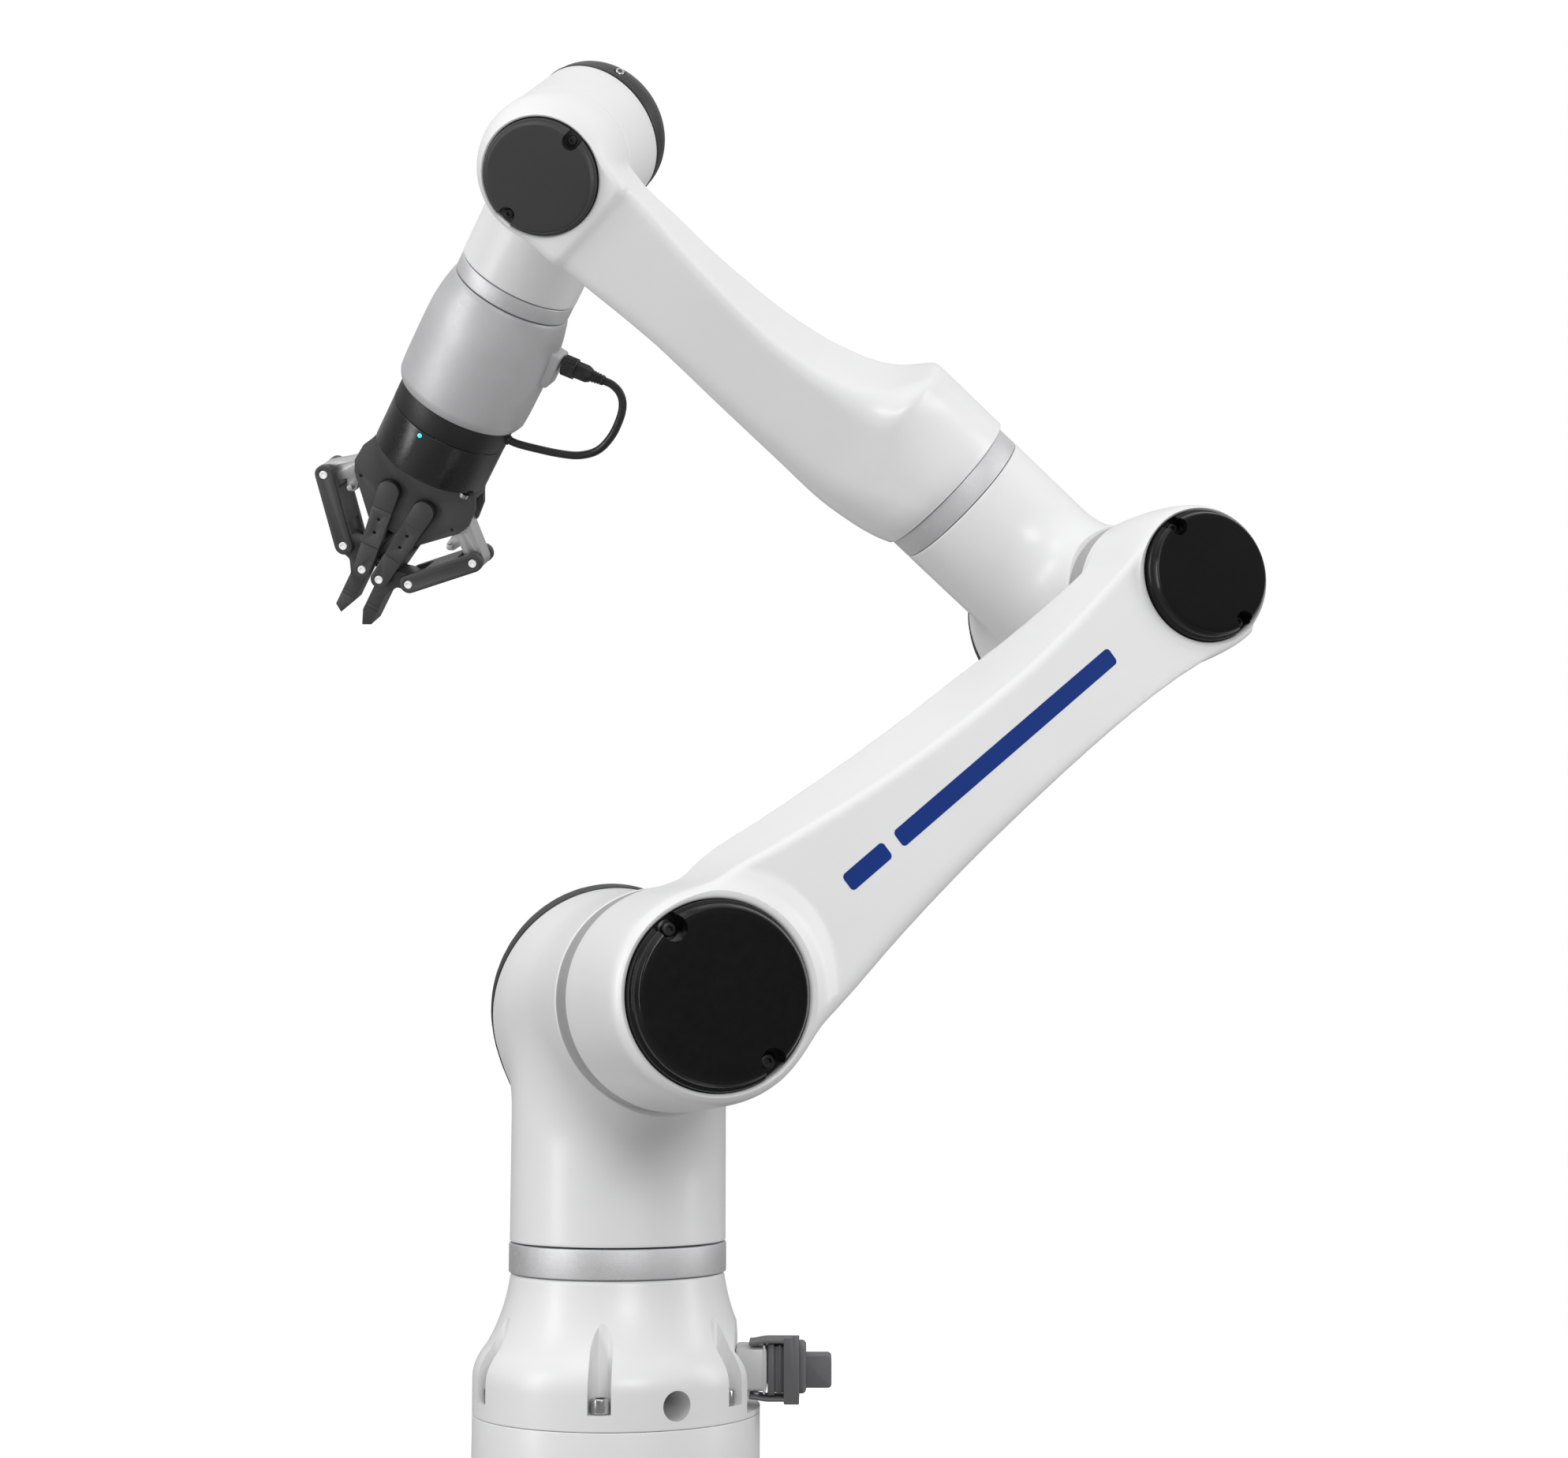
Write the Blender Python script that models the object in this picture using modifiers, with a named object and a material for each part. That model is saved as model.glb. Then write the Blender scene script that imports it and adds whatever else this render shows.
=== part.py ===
"""Six-axis collaborative robot arm on a round plinth, with a two-finger gripper.

Blender 4.5 script. Metres, +Z up. The origin is the centre of the plinth's bottom
face, on the first joint's axis. Sizes below are millimetres, turned into metres
when the meshes are made.
"""

import math

import bmesh
import bpy
import numpy as np
from mathutils import Matrix, Vector

MM = 0.001

# ---- driving dimensions (mm) -------------------------------------------------
PLINTH_H = 60.0          # plinth under the base casting
PLINTH_R = 79.4
J2_HEIGHT = 224.2        # base seam to the shoulder axis
UPPER_LEN = 380.0        # shoulder axis to elbow axis
FORE_LEN = 418.7         # elbow axis to wrist axis
GRIP_S = 193.8           # wrist axis to the gripper's base plane
BODY_R = 37.5            # gripper body
GAP = 0.3

# ---- rest pose (degrees) -----------------------------------------------------
UPPER_ELEV = 38.61       # upper arm above the horizontal
FORE_ELEV = 140.45       # forearm direction from +X
J4_ANGLE = -42.35
J5_ANGLE = 104.53
J6_ANGLE = 3.81
FINGER_ANGLE = 0.83      # radians from fully open

# ---- module sizes (mm): ring radius, drum, rear rim --------------------------
SHOULDER = dict(neck=60.0, neck_end=131.9, front=88.2, front_r=59.6, rear_r=66.1, y0=30.5, dome=43.0)
ELBOW = dict(neck=47.0, neck_end=109.1, front=68.2, front_r=46.6, rear_r=51.5, y0=43.7, dome=34.0)
WRIST = dict(neck=37.3, neck_end=92.8, front=62.6, front_r=41.3, rear_r=42.6, y0=18.0, dome=29.0)
RIM_SLOPE = -0.43        # rear rim leans forward towards the top


def clear_scene():
    for ob in list(bpy.data.objects):
        bpy.data.objects.remove(ob)
    for me in list(bpy.data.meshes):
        bpy.data.meshes.remove(me)


clear_scene()
scene = bpy.context.scene
COLL = bpy.data.collections.new("collaborative_robot_arm")
CUTS = bpy.data.collections.new("cutters")
scene.collection.children.link(COLL)
scene.collection.children.link(CUTS)


def material(name, color, rough, metal=0.0):
    m = bpy.data.materials.new(name)
    m.use_nodes = True
    b = m.node_tree.nodes["Principled BSDF"]
    b.inputs["Base Color"].default_value = (*color, 1.0)
    b.inputs["Roughness"].default_value = rough
    b.inputs["Metallic"].default_value = metal
    m.diffuse_color = (*color, 1.0)
    return m


COLORS = {
    "white": ((0.86, 0.86, 0.87), 0.35, 0.0),
    "ring": ((0.62, 0.62, 0.63), 0.38, 1.0),
    "grey": ((0.45, 0.45, 0.46), 0.5, 0.0),
    "gloss_black": ((0.012, 0.012, 0.014), 0.15, 0.0),
    "matt_black": ((0.035, 0.035, 0.038), 0.5, 0.0),
    "silver": ((0.52, 0.52, 0.53), 0.4, 0.6),
    "anodised": ((0.03, 0.03, 0.032), 0.42, 0.3),
    "crank": ((0.6, 0.6, 0.6), 0.4, 0.8),
    "pin": ((0.9, 0.9, 0.9), 0.35, 0.2),
    "steel": ((0.5, 0.5, 0.5), 0.3, 1.0),
    "led": ((0.05, 0.8, 0.85), 0.3, 0.0),
    "rubber": ((0.02, 0.02, 0.02), 0.6, 0.0),
    "hood": ((0.16, 0.16, 0.17), 0.5, 0.0),
    "motor": ((0.25, 0.25, 0.27), 0.4, 0.7),
}


# ---- frames ------------------------------------------------------------------
def frame(origin, x, y, z):
    m = Matrix.Identity(4)
    for i, axis in enumerate((x, y, z)):
        for r in range(3):
            m[r][i] = axis[r]
    for r in range(3):
        m[r][3] = origin[r] * MM
    return m


c2, s2 = math.cos(math.radians(UPPER_ELEV)), math.sin(math.radians(UPPER_ELEV))
cf, sf = math.cos(math.radians(FORE_ELEV)), math.sin(math.radians(FORE_ELEV))
X, Y, Z = Vector((1, 0, 0)), Vector((0, 1, 0)), Vector((0, 0, 1))
P2 = Vector((0, 0, PLINTH_H + J2_HEIGHT))
UP_DIR = Vector((c2, 0, s2))
P3 = P2 + UPPER_LEN * UP_DIR
A4 = Vector((cf, 0, sf))
FRONT = -Y
N5 = math.cos(math.radians(J4_ANGLE)) * FRONT + math.sin(math.radians(J4_ANGLE)) * A4.cross(FRONT)
P5 = P3 + FORE_LEN * A4
A6 = math.cos(math.radians(J5_ANGLE)) * A4 + math.sin(math.radians(J5_ANGLE)) * N5.cross(A4)
PIN = math.cos(math.radians(J6_ANGLE)) * N5 + math.sin(math.radians(J6_ANGLE)) * A6.cross(N5)
SIDE = PIN.cross(A6)

M_BASE = frame((0, 0, PLINTH_H), X, Y, Z)
M_SHOULDER = frame(P2, X, Y, Z)
M_UPPER = frame(P2, UP_DIR, Y, UP_DIR.cross(Y))
M_ELBOW = frame(P3, Y.cross(-A4), Y, -A4)
M_FORE = frame(P3, A4, -N5, A4.cross(-N5))
M_WRIST = frame(P5, (-N5).cross(-A6), -N5, -A6)
M_TOOL = frame(P5, SIDE, PIN, A6)
FLIP = Matrix.Rotation(math.radians(90), 4, "X")      # local Z points to the front


def empty(name, world, parent=None):
    e = bpy.data.objects.new(name, None)
    COLL.objects.link(e)
    if parent is not None:
        e.parent = parent
        e.matrix_local = Matrix(parent["rest"]).inverted() @ world
    else:
        e.matrix_local = world
    e["rest"] = [list(r) for r in world]
    return e


AX0 = empty("axis_base", M_BASE)
AX1 = empty("axis_j1", M_BASE, AX0)
AX2 = empty("axis_j2", M_UPPER, AX1)
AX3 = empty("axis_j3", M_ELBOW, AX2)
AX4 = empty("axis_j4", M_FORE, AX3)
AX5 = empty("axis_j5", M_WRIST, AX4)
AX6 = empty("axis_j6", M_TOOL, AX5)


# ---- mesh helpers --------------------------------------------------------------
def add(name, mesh, world, owner=None, mat=None):
    """Object with its mesh in the frame `world`; a cutter when it has no owner."""
    ob = bpy.data.objects.new(name, mesh)
    if owner is None:
        CUTS.objects.link(ob)
        ob.hide_render = True
        ob.display_type = "WIRE"
        ob.matrix_world = world
    else:
        COLL.objects.link(ob)
        ob.parent = owner
        ob.matrix_local = Matrix(owner["rest"]).inverted() @ world
        ob.data.materials.append(material(name + "_finish", *COLORS[mat]))
    return ob


def lathe(name, pts, world, owner=None, mat=None, seg=32, scale=None):
    """Turned solid: (radius, height) pairs, outer side top to bottom."""
    closed = pts[0][0] > 0.001
    bm = bmesh.new()
    vs = [bm.verts.new((r * MM, 0, z * MM)) for r, z in pts]
    for a, b in zip(vs, vs[1:]):
        bm.edges.new((a, b))
    if closed:
        bm.edges.new((vs[-1], vs[0]))
    me = bpy.data.meshes.new(name)
    bm.to_mesh(me)
    bm.free()
    ob = add(name, me, world, owner, mat)
    sc = ob.modifiers.new("turn", "SCREW")
    sc.axis = "Z"
    sc.angle = 2 * math.pi
    sc.steps = seg
    sc.render_steps = seg
    sc.use_merge_vertices = True
    sc.merge_threshold = 0.00001
    sc.use_smooth_shade = False
    if scale is not None:
        dep = bpy.context.evaluated_depsgraph_get()
        dep.update()
        baked = bpy.data.meshes.new_from_object(ob.evaluated_get(dep))
        baked.transform(Matrix.Diagonal((*scale, 1.0)))
        ob.modifiers.clear()
        if owner is not None:
            baked.materials.clear()
            baked.materials.append(material(name + "_shell", *COLORS[mat]))
        ob.data = baked
    return ob


def cyl(name, r, z0, z1, world, owner=None, mat=None, seg=32):
    return lathe(name, [(0, z1), (r, z1), (r, z0), (0, z0)], world, owner, mat, seg)


def box(name, lo, hi, world, owner=None, mat=None):
    bm = bmesh.new()
    bmesh.ops.create_cube(bm, size=1.0)
    size = [(h - l) * MM for l, h in zip(lo, hi)]
    mid = [(h + l) / 2 * MM for l, h in zip(lo, hi)]
    bmesh.ops.scale(bm, vec=size, verts=bm.verts)
    bmesh.ops.translate(bm, vec=mid, verts=bm.verts)
    me = bpy.data.meshes.new(name)
    bm.to_mesh(me)
    bm.free()
    return add(name, me, world, owner, mat)


def plate(name, outline, t0, t1, world, owner=None, mat=None):
    """Flat outline (x, z pairs) extruded along local Y from t0 to t1."""
    bm = bmesh.new()
    vs = [bm.verts.new((x * MM, t0 * MM, z * MM)) for x, z in outline]
    f = bm.faces.new(vs)
    out = bmesh.ops.extrude_face_region(bm, geom=[f])
    bmesh.ops.translate(bm, vec=(0, (t1 - t0) * MM, 0), verts=[v for v in out["geom"] if isinstance(v, bmesh.types.BMVert)])
    bmesh.ops.recalc_face_normals(bm, faces=bm.faces)
    me = bpy.data.meshes.new(name)
    bm.to_mesh(me)
    bm.free()
    return add(name, me, world, owner, mat)


def capsule(a, b, ra, rb, n=8):
    """Outline of a link: round ends of radii ra and rb about the points a and b."""
    a, b = Vector(a), Vector(b)
    d = (b - a).normalized()
    ang = math.atan2(d.y, d.x)
    pts = [a + ra * Vector((math.cos(t), math.sin(t))) for t in np.linspace(ang + math.pi / 2, ang + 1.5 * math.pi, n)]
    pts += [b + rb * Vector((math.cos(t), math.sin(t))) for t in np.linspace(ang - math.pi / 2, ang + math.pi / 2, n)]
    return [(p.x, p.y) for p in pts]


def loft(name, rings, world, owner=None, mat=None):
    """Solid through rings of points with the same count."""
    bm = bmesh.new()
    rows = [[bm.verts.new([c * MM for c in p]) for p in ring] for ring in rings]
    n = len(rows[0])
    for a, b in zip(rows, rows[1:]):
        for i in range(n):
            bm.faces.new((a[i], a[(i + 1) % n], b[(i + 1) % n], b[i]))
    bm.faces.new(rows[0][::-1])
    bm.faces.new(rows[-1])
    bmesh.ops.recalc_face_normals(bm, faces=bm.faces)
    me = bpy.data.meshes.new(name)
    bm.to_mesh(me)
    bm.free()
    return add(name, me, world, owner, mat)


def rounded(x, z0, z1, y0, y1, r, n=3):
    """Ring at x: rectangle z0..z1 by y0..y1 (y0 is the front) with corners of radius r."""
    r = min(r, (z1 - z0) / 2 - 0.5, (y1 - y0) / 2 - 0.5)
    ring = []
    for cy, cz, a0 in ((y1 - r, z1 - r, 0), (y0 + r, z1 - r, 90), (y0 + r, z0 + r, 180), (y1 - r, z0 + r, 270)):
        for k in range(n + 1):
            a = math.radians(a0 + 90 * k / n)
            ring.append((x, cy + r * math.cos(a), cz + r * math.sin(a)))
    return ring


def boolean(ob, op, other):
    m = ob.modifiers.new(op.lower(), "BOOLEAN")
    m.operation = op
    m.solver = "EXACT"
    m.object = other
    return m


def cut(ob, *tools):
    for t in tools:
        boolean(ob, "DIFFERENCE", t)


def fuse(ob, *others):
    for t in others:
        boolean(ob, "UNION", t)


# ---- joint module: neck along -Z, drum along Y with its front at -Y -------------
def rim_frame(world, y0):
    k = RIM_SLOPE
    n = Vector((0, 1, -k)).normalized()
    u = Vector((0, k, 1)).normalized()
    return world @ frame((0, y0, 0), X, -u, n)


def module(name, d, world, owner, bore_neck, bore_drum, seg):
    neck = d["neck"]
    housing = lathe(name + "_housing", [(0, 10), (neck, 10), (neck, -d["neck_end"] + 0.3), (0, -d["neck_end"] + 0.3)], world, owner, "white", seg)
    w = world @ FLIP
    f, fr, rr = d["front"], d["front_r"], d["rear_r"]
    drum = lathe(name + "_drum", [(0, f), (fr, f), (fr + 0.6, f * 0.45), (rr, -d["y0"] + 14), (rr, -d["y0"] - 40), (0, -d["y0"] - 40)], w, seg=seg)
    fuse(housing, drum)
    tilt = rim_frame(world, d["y0"])
    far = 140.0
    cut(housing, box(name + "_rear_cut", (-far, -far, 0), (far, far, far), tilt))
    cut(housing, cyl(name + "_neck_bore", bore_neck, -d["neck_end"] - 5, -0.35 * d["neck_end"], world, seg=20))
    cut(housing, cyl(name + "_drum_bore", bore_drum, -d["y0"] - 60, f + 5, w, seg=20))
    steps = 5
    prof = [(0, d["dome"])]
    for i in range(1, steps):
        a = math.radians(90 * i / steps)
        prof.append((rr * math.sin(a), 0.4 + (d["dome"] - 0.4) * math.cos(a)))
    prof += [(rr, 0.4), (0, 0.4)]
    cap = lathe(name + "_rear_cap", prof, tilt, owner, "matt_black", seg, scale=(1, math.sqrt(1 + RIM_SLOPE ** 2), 1))
    return housing, cap


def ring(name, r_out, r_in, z0, z1, world, owner, mat, seg=40):
    return lathe(name, [(r_out, z1), (r_out, z0), (r_in, z0), (r_in, z1)], world, owner, mat, seg)


# ---- base ------------------------------------------------------------------------
T0 = Matrix.Translation((0, 0, -PLINTH_H * MM))
cyl("plinth", PLINTH_R, 0.0, PLINTH_H - GAP, M_BASE @ T0, AX0, "white", seg=40)
BOLT_PCD_R = 72.5
SLOT_FLOOR = 8.5
base = lathe("base_housing", [(0, 75.1), (59.6, 75.1), (60.6, 67), (62.7, 58.5), (66.9, 46.9), (71.2, 38.4), (76.3, 30.7), (78.8, 26.4), (PLINTH_R, 21), (PLINTH_R, 0), (0, 0)], M_BASE, AX0, "white", seg=40)


def around(azimuth):
    """Frame turned so that local X points out at this angle from the front, towards +X."""
    a = math.radians(azimuth - 90)
    return M_BASE @ Matrix.Rotation(a, 4, "Z")


for i, az in enumerate((40, 100, 160, 220, 280, 340)):
    m = around(az)
    bend = [(73.3 - 6.9 * math.cos(t), 6.9 * math.sin(t)) for t in np.linspace(-math.pi / 2, math.pi / 2, 7)]
    cut(base, plate("slot_%d" % i, bend + [(92.0, 6.9), (92.0, -6.9)], SLOT_FLOOR, 66.0, m @ Matrix.Rotation(math.radians(90), 4, "X")))
    cyl("base_bolt_%d" % (i + 1), 5.4, SLOT_FLOOR + GAP, SLOT_FLOOR + 8.0, m @ Matrix.Translation((72.6 * MM, 0, 0)), AX0, "steel", seg=12)
hole = around(10) @ Matrix.Rotation(math.radians(90), 4, "Y")
cut(base, cyl("side_hole", 8.4, 60, 90, hole @ Matrix.Translation((-13.5 * MM, 0, 0)), seg=20))
cut(base, cyl("base_cavity", 47.0, 10.0, 90.0, M_BASE, seg=24))
CON = around(70)
cut(base, box("connector_recess", (66.0, -31, 3.0), (95, 31, 52), CON))

box("connector_housing", (66.3, -15, 11.0), (83.4, 15, 36.6), CON, AX0, "silver")
hood = box("connector_hood", (83.8, -14, 9.7), (105.0, 14, 37.8), CON, AX0, "hood")
fuse(hood, box("hood_tail", (104.0, -9.5, 13.3), (119.0, 9.5, 30.7), CON))
LEVER_X = 77.7
lever_axis = CON @ Matrix.Translation((LEVER_X * MM, 0, 0))
AXL = empty("axis_lever", lever_axis, AX0)
lever = box("connector_lever", (-4.0, -18.6, 38.3), (23.5, 4.0, 40.3), lever_axis, AXL, "hood")
fuse(lever, box("lever_low", (-4.0, -18.6, 7.0), (23.5, 4.0, 9.0), lever_axis))
fuse(lever, box("lever_bar", (15.0, -18.6, 5.7), (23.5, -16.6, 42.3), lever_axis))
cyl("j1_drive", 42.0, 10.4, 88.0, M_BASE, AX0, "motor", seg=24)

# ---- shoulder ----------------------------------------------------------------------
ring("j1_ring", 60.4, 50.0, 75.7, 91.7, M_BASE, AX1, "ring", 36)
module("shoulder", SHOULDER, M_SHOULDER, AX1, 50.0, 49.0, 36)
ring("j2_ring", 59.1, 50.0, 88.6, 108.6, M_SHOULDER @ FLIP, AX1, "grey", 36)
cyl("j2_drive", 42.0, -10.0, 106.0, M_SHOULDER @ FLIP, AX1, "motor", seg=24)


# ---- caps on the arm ends: bevelled disc with two screw notches ---------------------
def end_cap(name, r, top, rim, floor, world, owner, mat, k):
    """Cap in a frame whose Z points to the front; notches lie on local +-Y of the disc."""
    cap = lathe(name, [(0, top), (r - 4.2 * k, top), (r - 1.4 * k, top - 3.4 * k), (r - 0.5, rim), (r - 0.5, floor + GAP), (0, floor + GAP)], world, owner, mat, 32)
    for tag, sy in (("a", 1), ("b", -1)):
        c = sy * (r - 6.8 * k)
        notch = world @ Matrix.Translation((0, c * MM, 0))
        cut(cap, cyl(name + "_notch_" + tag, 7.0 * k, rim - 6.0 * k, top + 5, notch, seg=14))
        cyl(name + "_screw_" + tag, 3.9 * k, rim - 6.0 * k + GAP, rim - 1.5 * k, notch, owner, "steel" if mat != "gloss_black" else "matt_black", seg=12)
    return cap


def pocket_body(ob, tag, r, world, floor, top):
    cut(ob, cyl(tag, r, floor, top, world, seg=32))


# ---- upper arm -----------------------------------------------------------------------
UF = M_UPPER @ FLIP
UE = M_UPPER @ Matrix.Translation((UPPER_LEN * MM, 0, 0)) @ FLIP
upper = lathe("upper_arm", [(0, 183.5), (49.5, 183.5), (54.5, 177), (58.0, 166), (60.0, 150), (60.0, 112), (59.3, 109.0), (0, 109.0)], UF, AX2, "white", 36)
boss = lathe("elbow_boss", [(0, 148.5), (38.4, 148.5), (42.3, 142), (45.2, 131), (46.8, 118), (46.8, 87), (46.2, 84.8), (0, 84.8)], UE, seg=32)
beam_rings = []
for x, hz in ((12, 49), (66, 45.5), (110, 40), (170, 34.3), (232, 30.5), (285, 29.5), (325, 33), (350, 37.5), (372, 42)):
    t = x / UPPER_LEN
    front = -(181.5 + (146.5 - 181.5) * t)
    back = -(109.6 + (86.6 - 109.6) * max(0.0, x - 66.0) / (UPPER_LEN - 66.0))
    beam_rings.append(rounded(x, -hz, hz, front, back, 12.0, 3))
beam = loft("upper_beam", beam_rings, M_UPPER)
fuse(upper, boss, beam)
pocket_body(upper, "j2_pocket", 48.0, UF, 121.0, 200.0)
pocket_body(upper, "j3_pocket", 37.6, UE, 96.0, 170.0)
duct_rings = []
for x, hz in ((30, 34), (110, 30), (232, 21), (345, 24)):
    t = x / UPPER_LEN
    front = -(173.0 + (137.0 - 173.0) * t)
    back = -(120.0 + (96.5 - 120.0) * t)
    duct_rings.append(rounded(x, -hz, hz, front, back, 8.0, 1))
cut(upper, loft("upper_duct", duct_rings, M_UPPER))
end_cap("j2_cap", 48.0, 193.0, 184.0, 166.0, UF, AX2, "gloss_black", 1.0)
end_cap("j3_cap", 37.6, 156.0, 149.0, 135.0, UE, AX2, "gloss_black", 0.776)

# ---- elbow -----------------------------------------------------------------------------
module("elbow", ELBOW, M_ELBOW, AX3, 37.0, 38.0, 32)
ring("j3_ring", 46.0, 38.0, 68.6, 84.2, M_ELBOW @ FLIP, AX3, "grey", 32)
FA = M_FORE @ Matrix.Rotation(math.radians(90), 4, "Y")        # local Z along the forearm
ring("j4_ring", 46.9, 38.0, 109.3, 123.0, FA, AX3, "ring", 32)
cyl("j3_drive", 33.0, -5.0, 82.0, M_ELBOW @ FLIP, AX3, "motor", seg=20)

# ---- forearm ---------------------------------------------------------------------------
FE = M_FORE @ Matrix.Translation((FORE_LEN * MM, 0, 0)) @ FLIP
forearm = lathe("forearm", [(0, 105.8), (33.8, 105.8), (37.0, 100.5), (40.0, 91.5), (41.5, 82), (41.5, 64.5), (40.9, 62.9), (0, 62.9)], FE, AX4, "white", 32)
fore_rings = []
for s, za, zb, front, back, r in (
    (123.6, -46.9, 46.9, -46.9, 46.9, 46.3),
    (137.0, -47.6, 48.0, -48.0, 47.0, 40.0),
    (150.0, -46.5, 50.0, -51.0, 47.0, 34.0),
    (170.0, -41.5, 51.0, -55.0, 42.0, 30.0),
    (186.0, -31.0, 49.5, -58.0, 33.0, 22.0),
    (205.0, -21.5, 47.0, -61.5, 22.0, 17.0),
    (238.0, -15.0, 43.0, -69.0, 6.0, 14.0),
    (270.0, -13.4, 39.0, -76.5, -12.0, 13.0),
    (305.0, -15.2, 35.8, -84.5, -34.0, 12.0),
    (335.0, -19.5, 34.3, -91.0, -49.0, 11.0),
    (358.0, -24.0, 34.3, -96.0, -58.5, 10.0),
    (372.0, -27.0, 34.6, -98.8, -63.6, 10.0),
    (390.0, -30.0, 35.5, -101.0, -63.6, 10.0),
    (418.0, -34.0, 36.0, -103.5, -63.6, 10.0),
):
    fore_rings.append(rounded(s, za, zb, front, back, r, 3))
fuse(forearm, loft("fore_beam", fore_rings, M_FORE))
pocket_body(forearm, "j5_pocket", 32.6, FE, 72.0, 130.0)
cut(forearm, cyl("fore_bore", 30.0, 110.0, 165.0, FA, seg=20))
fore_duct = []
for s, za, zb, front, back in ((160, -22, 24, -40, 20), (205, -12, 38, -52, 8), (270, -6, 31, -68, -22), (335, -10, 27, -82, -58), (400, -12, 20, -94, -74)):
    fore_duct.append(rounded(s, za, zb, front, back, 6.0, 1))
cut(forearm, loft("fore_duct", fore_duct, M_FORE))
end_cap("j5_cap", 32.6, 112.0, 106.5, 93.0, FE, AX4, "matt_black", 0.70)

# ---- wrist -----------------------------------------------------------------------------
module("wrist", WRIST, M_WRIST, AX5, 29.0, 30.0, 28)
TOOL = M_TOOL
ring("j6_ring", 37.1, 29.0, 93.1, 103.4, TOOL, AX5, "ring", 28)
cyl("j5_drive", 25.0, -5.0, 60.0, M_WRIST @ FLIP, AX5, "motor", seg=20)
tilt_w = rim_frame(M_WRIST, WRIST["y0"])
lathe("rear_cap_screw", [(0, 2.2), (3.6, 2.2), (3.6, 0), (0, 0)], tilt_w @ Matrix.Translation((0, -40.0 * MM, 19.0 * MM)) @ Matrix.Rotation(math.radians(58), 4, "X"), AX5, "steel", 12)

# ---- tool flange housing, cable and gripper body ------------------------------------------
flange = lathe("flange_housing", [(0, 182.4), (39.0, 182.4), (40.8, 180.2), (42.0, 176), (42.2, 134), (41.1, 121), (38.6, 108.5), (37.5, 104.1), (0, 104.1)], TOOL, AX6, "silver", 32)
fuse(flange, box("io_pad", (36.0, -9.5, 121.5), (46.0, 9.5, 143.5), TOOL))
cut(flange, cyl("flange_bore", 28.0, 100.0, 176.0, TOOL, seg=20))
IO_Z = 127.0
io_frame = TOOL @ Matrix.Translation((47.2 * MM, 0, IO_Z * MM)) @ Matrix.Rotation(math.radians(99), 4, "Y")
io = lathe("io_connector", [(0, 27.5), (3.4, 27.5), (4.4, 18), (5.6, 16), (5.6, 9), (6.6, 8.6), (6.6, 0.3), (4.4, 0.0), (0, 0.0)], io_frame, AX6, "rubber", 20)
lathe("gripper_coupling", [(0, 197.2), (37.6, 197.2), (37.6, 182.8), (0, 182.8)], TOOL, AX6, "anodised", 32)
bpy.data.objects["gripper_coupling"].data.materials[0].diffuse_color = (0.02, 0.02, 0.02, 1)
cut(bpy.data.objects["gripper_coupling"], cyl("coupling_socket", 3.4, 33.0, 45.0, TOOL @ Matrix.Translation((0, 0, 188.9 * MM)) @ Matrix.Rotation(math.radians(90), 4, "Y"), seg=12))
body = lathe("gripper_body", [(0, GRIP_S + 35), (30.0, GRIP_S + 35), (BODY_R, GRIP_S + 33.0), (BODY_R, 197.5), (0, 197.5)], TOOL, AX6, "anodised", 32)

GR = TOOL @ Matrix.Translation((0, 0, GRIP_S * MM))
half = [(35.0, 35.4), (40.5, 44.0), (41.5, 56.0), (38.5, 63.0), (17.5, 86.0)]
palm_outline = half + [(-x, z) for x, z in half[::-1]]
palm = plate("gripper_palm", palm_outline, -10.5, 10.5, GR, AX6, "anodised")
for tag, sx in (("r", 1), ("l", -1)):
    # clevis slots in which the cranks turn
    cut(palm, plate("crank_slot_" + tag, [(sx * 19.0, 44.5), (sx * 60.0, 30.0), (sx * 60.0, 100.0), (sx * 19.0, 100.0)], -6.6, 6.6, GR))
lathe("status_led", [(0, BODY_R + 0.25), (1.1, BODY_R + 0.25), (1.1, BODY_R - 1.0), (0, BODY_R - 1.0)], GR @ Matrix.Translation((0, 0, 7.1 * MM)) @ Matrix.Rotation(math.radians(98.5), 4, "Z") @ Matrix.Rotation(math.radians(90), 4, "Y"), AX6, "led", 10)
led_hole = cyl("led_hole", 1.4, 36.2, 40.0, GR @ Matrix.Translation((0, 0, 7.1 * MM)) @ Matrix.Rotation(math.radians(98.5), 4, "Z") @ Matrix.Rotation(math.radians(90), 4, "Y"), seg=10)
cut(body, led_hole)
SCREW_XY = (31.0, 14.5)
cyl("palm_screw", 3.2, 35.3, 38.6, GR @ Matrix.Translation((31.0 * MM, 14.5 * MM, 0)), AX6, "pin", seg=12)
cut(body, cyl("screw_well", 4.0, 31.0, 60.0, GR @ Matrix.Translation((31.0 * MM, 14.5 * MM, 0)), seg=12))


# cable: one smooth curve from the connector's tail round to the coupling's socket
def smooth(points, n):
    """Catmull-Rom curve through the points, read at n equal steps."""
    p = [np.array(q, float) for q in points]
    p = [2 * p[0] - p[1]] + p + [2 * p[-1] - p[-2]]
    dense = []
    for i in range(1, len(p) - 2):
        for t in np.linspace(0, 1, 24, endpoint=False):
            a, b, c, d = p[i - 1], p[i], p[i + 1], p[i + 2]
            dense.append(0.5 * ((2 * b) + (c - a) * t + (2 * a - 5 * b + 4 * c - d) * t * t + (3 * b - a - 3 * c + d) * t ** 3))
    dense.append(p[-2])
    dense = np.array(dense)
    step = np.r_[0, np.cumsum(np.linalg.norm(np.diff(dense, axis=0), axis=1))]
    at = np.linspace(0, step[-1], n)
    return np.stack([np.interp(at, step, dense[:, k]) for k in range(3)], 1), step[-1]


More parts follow.
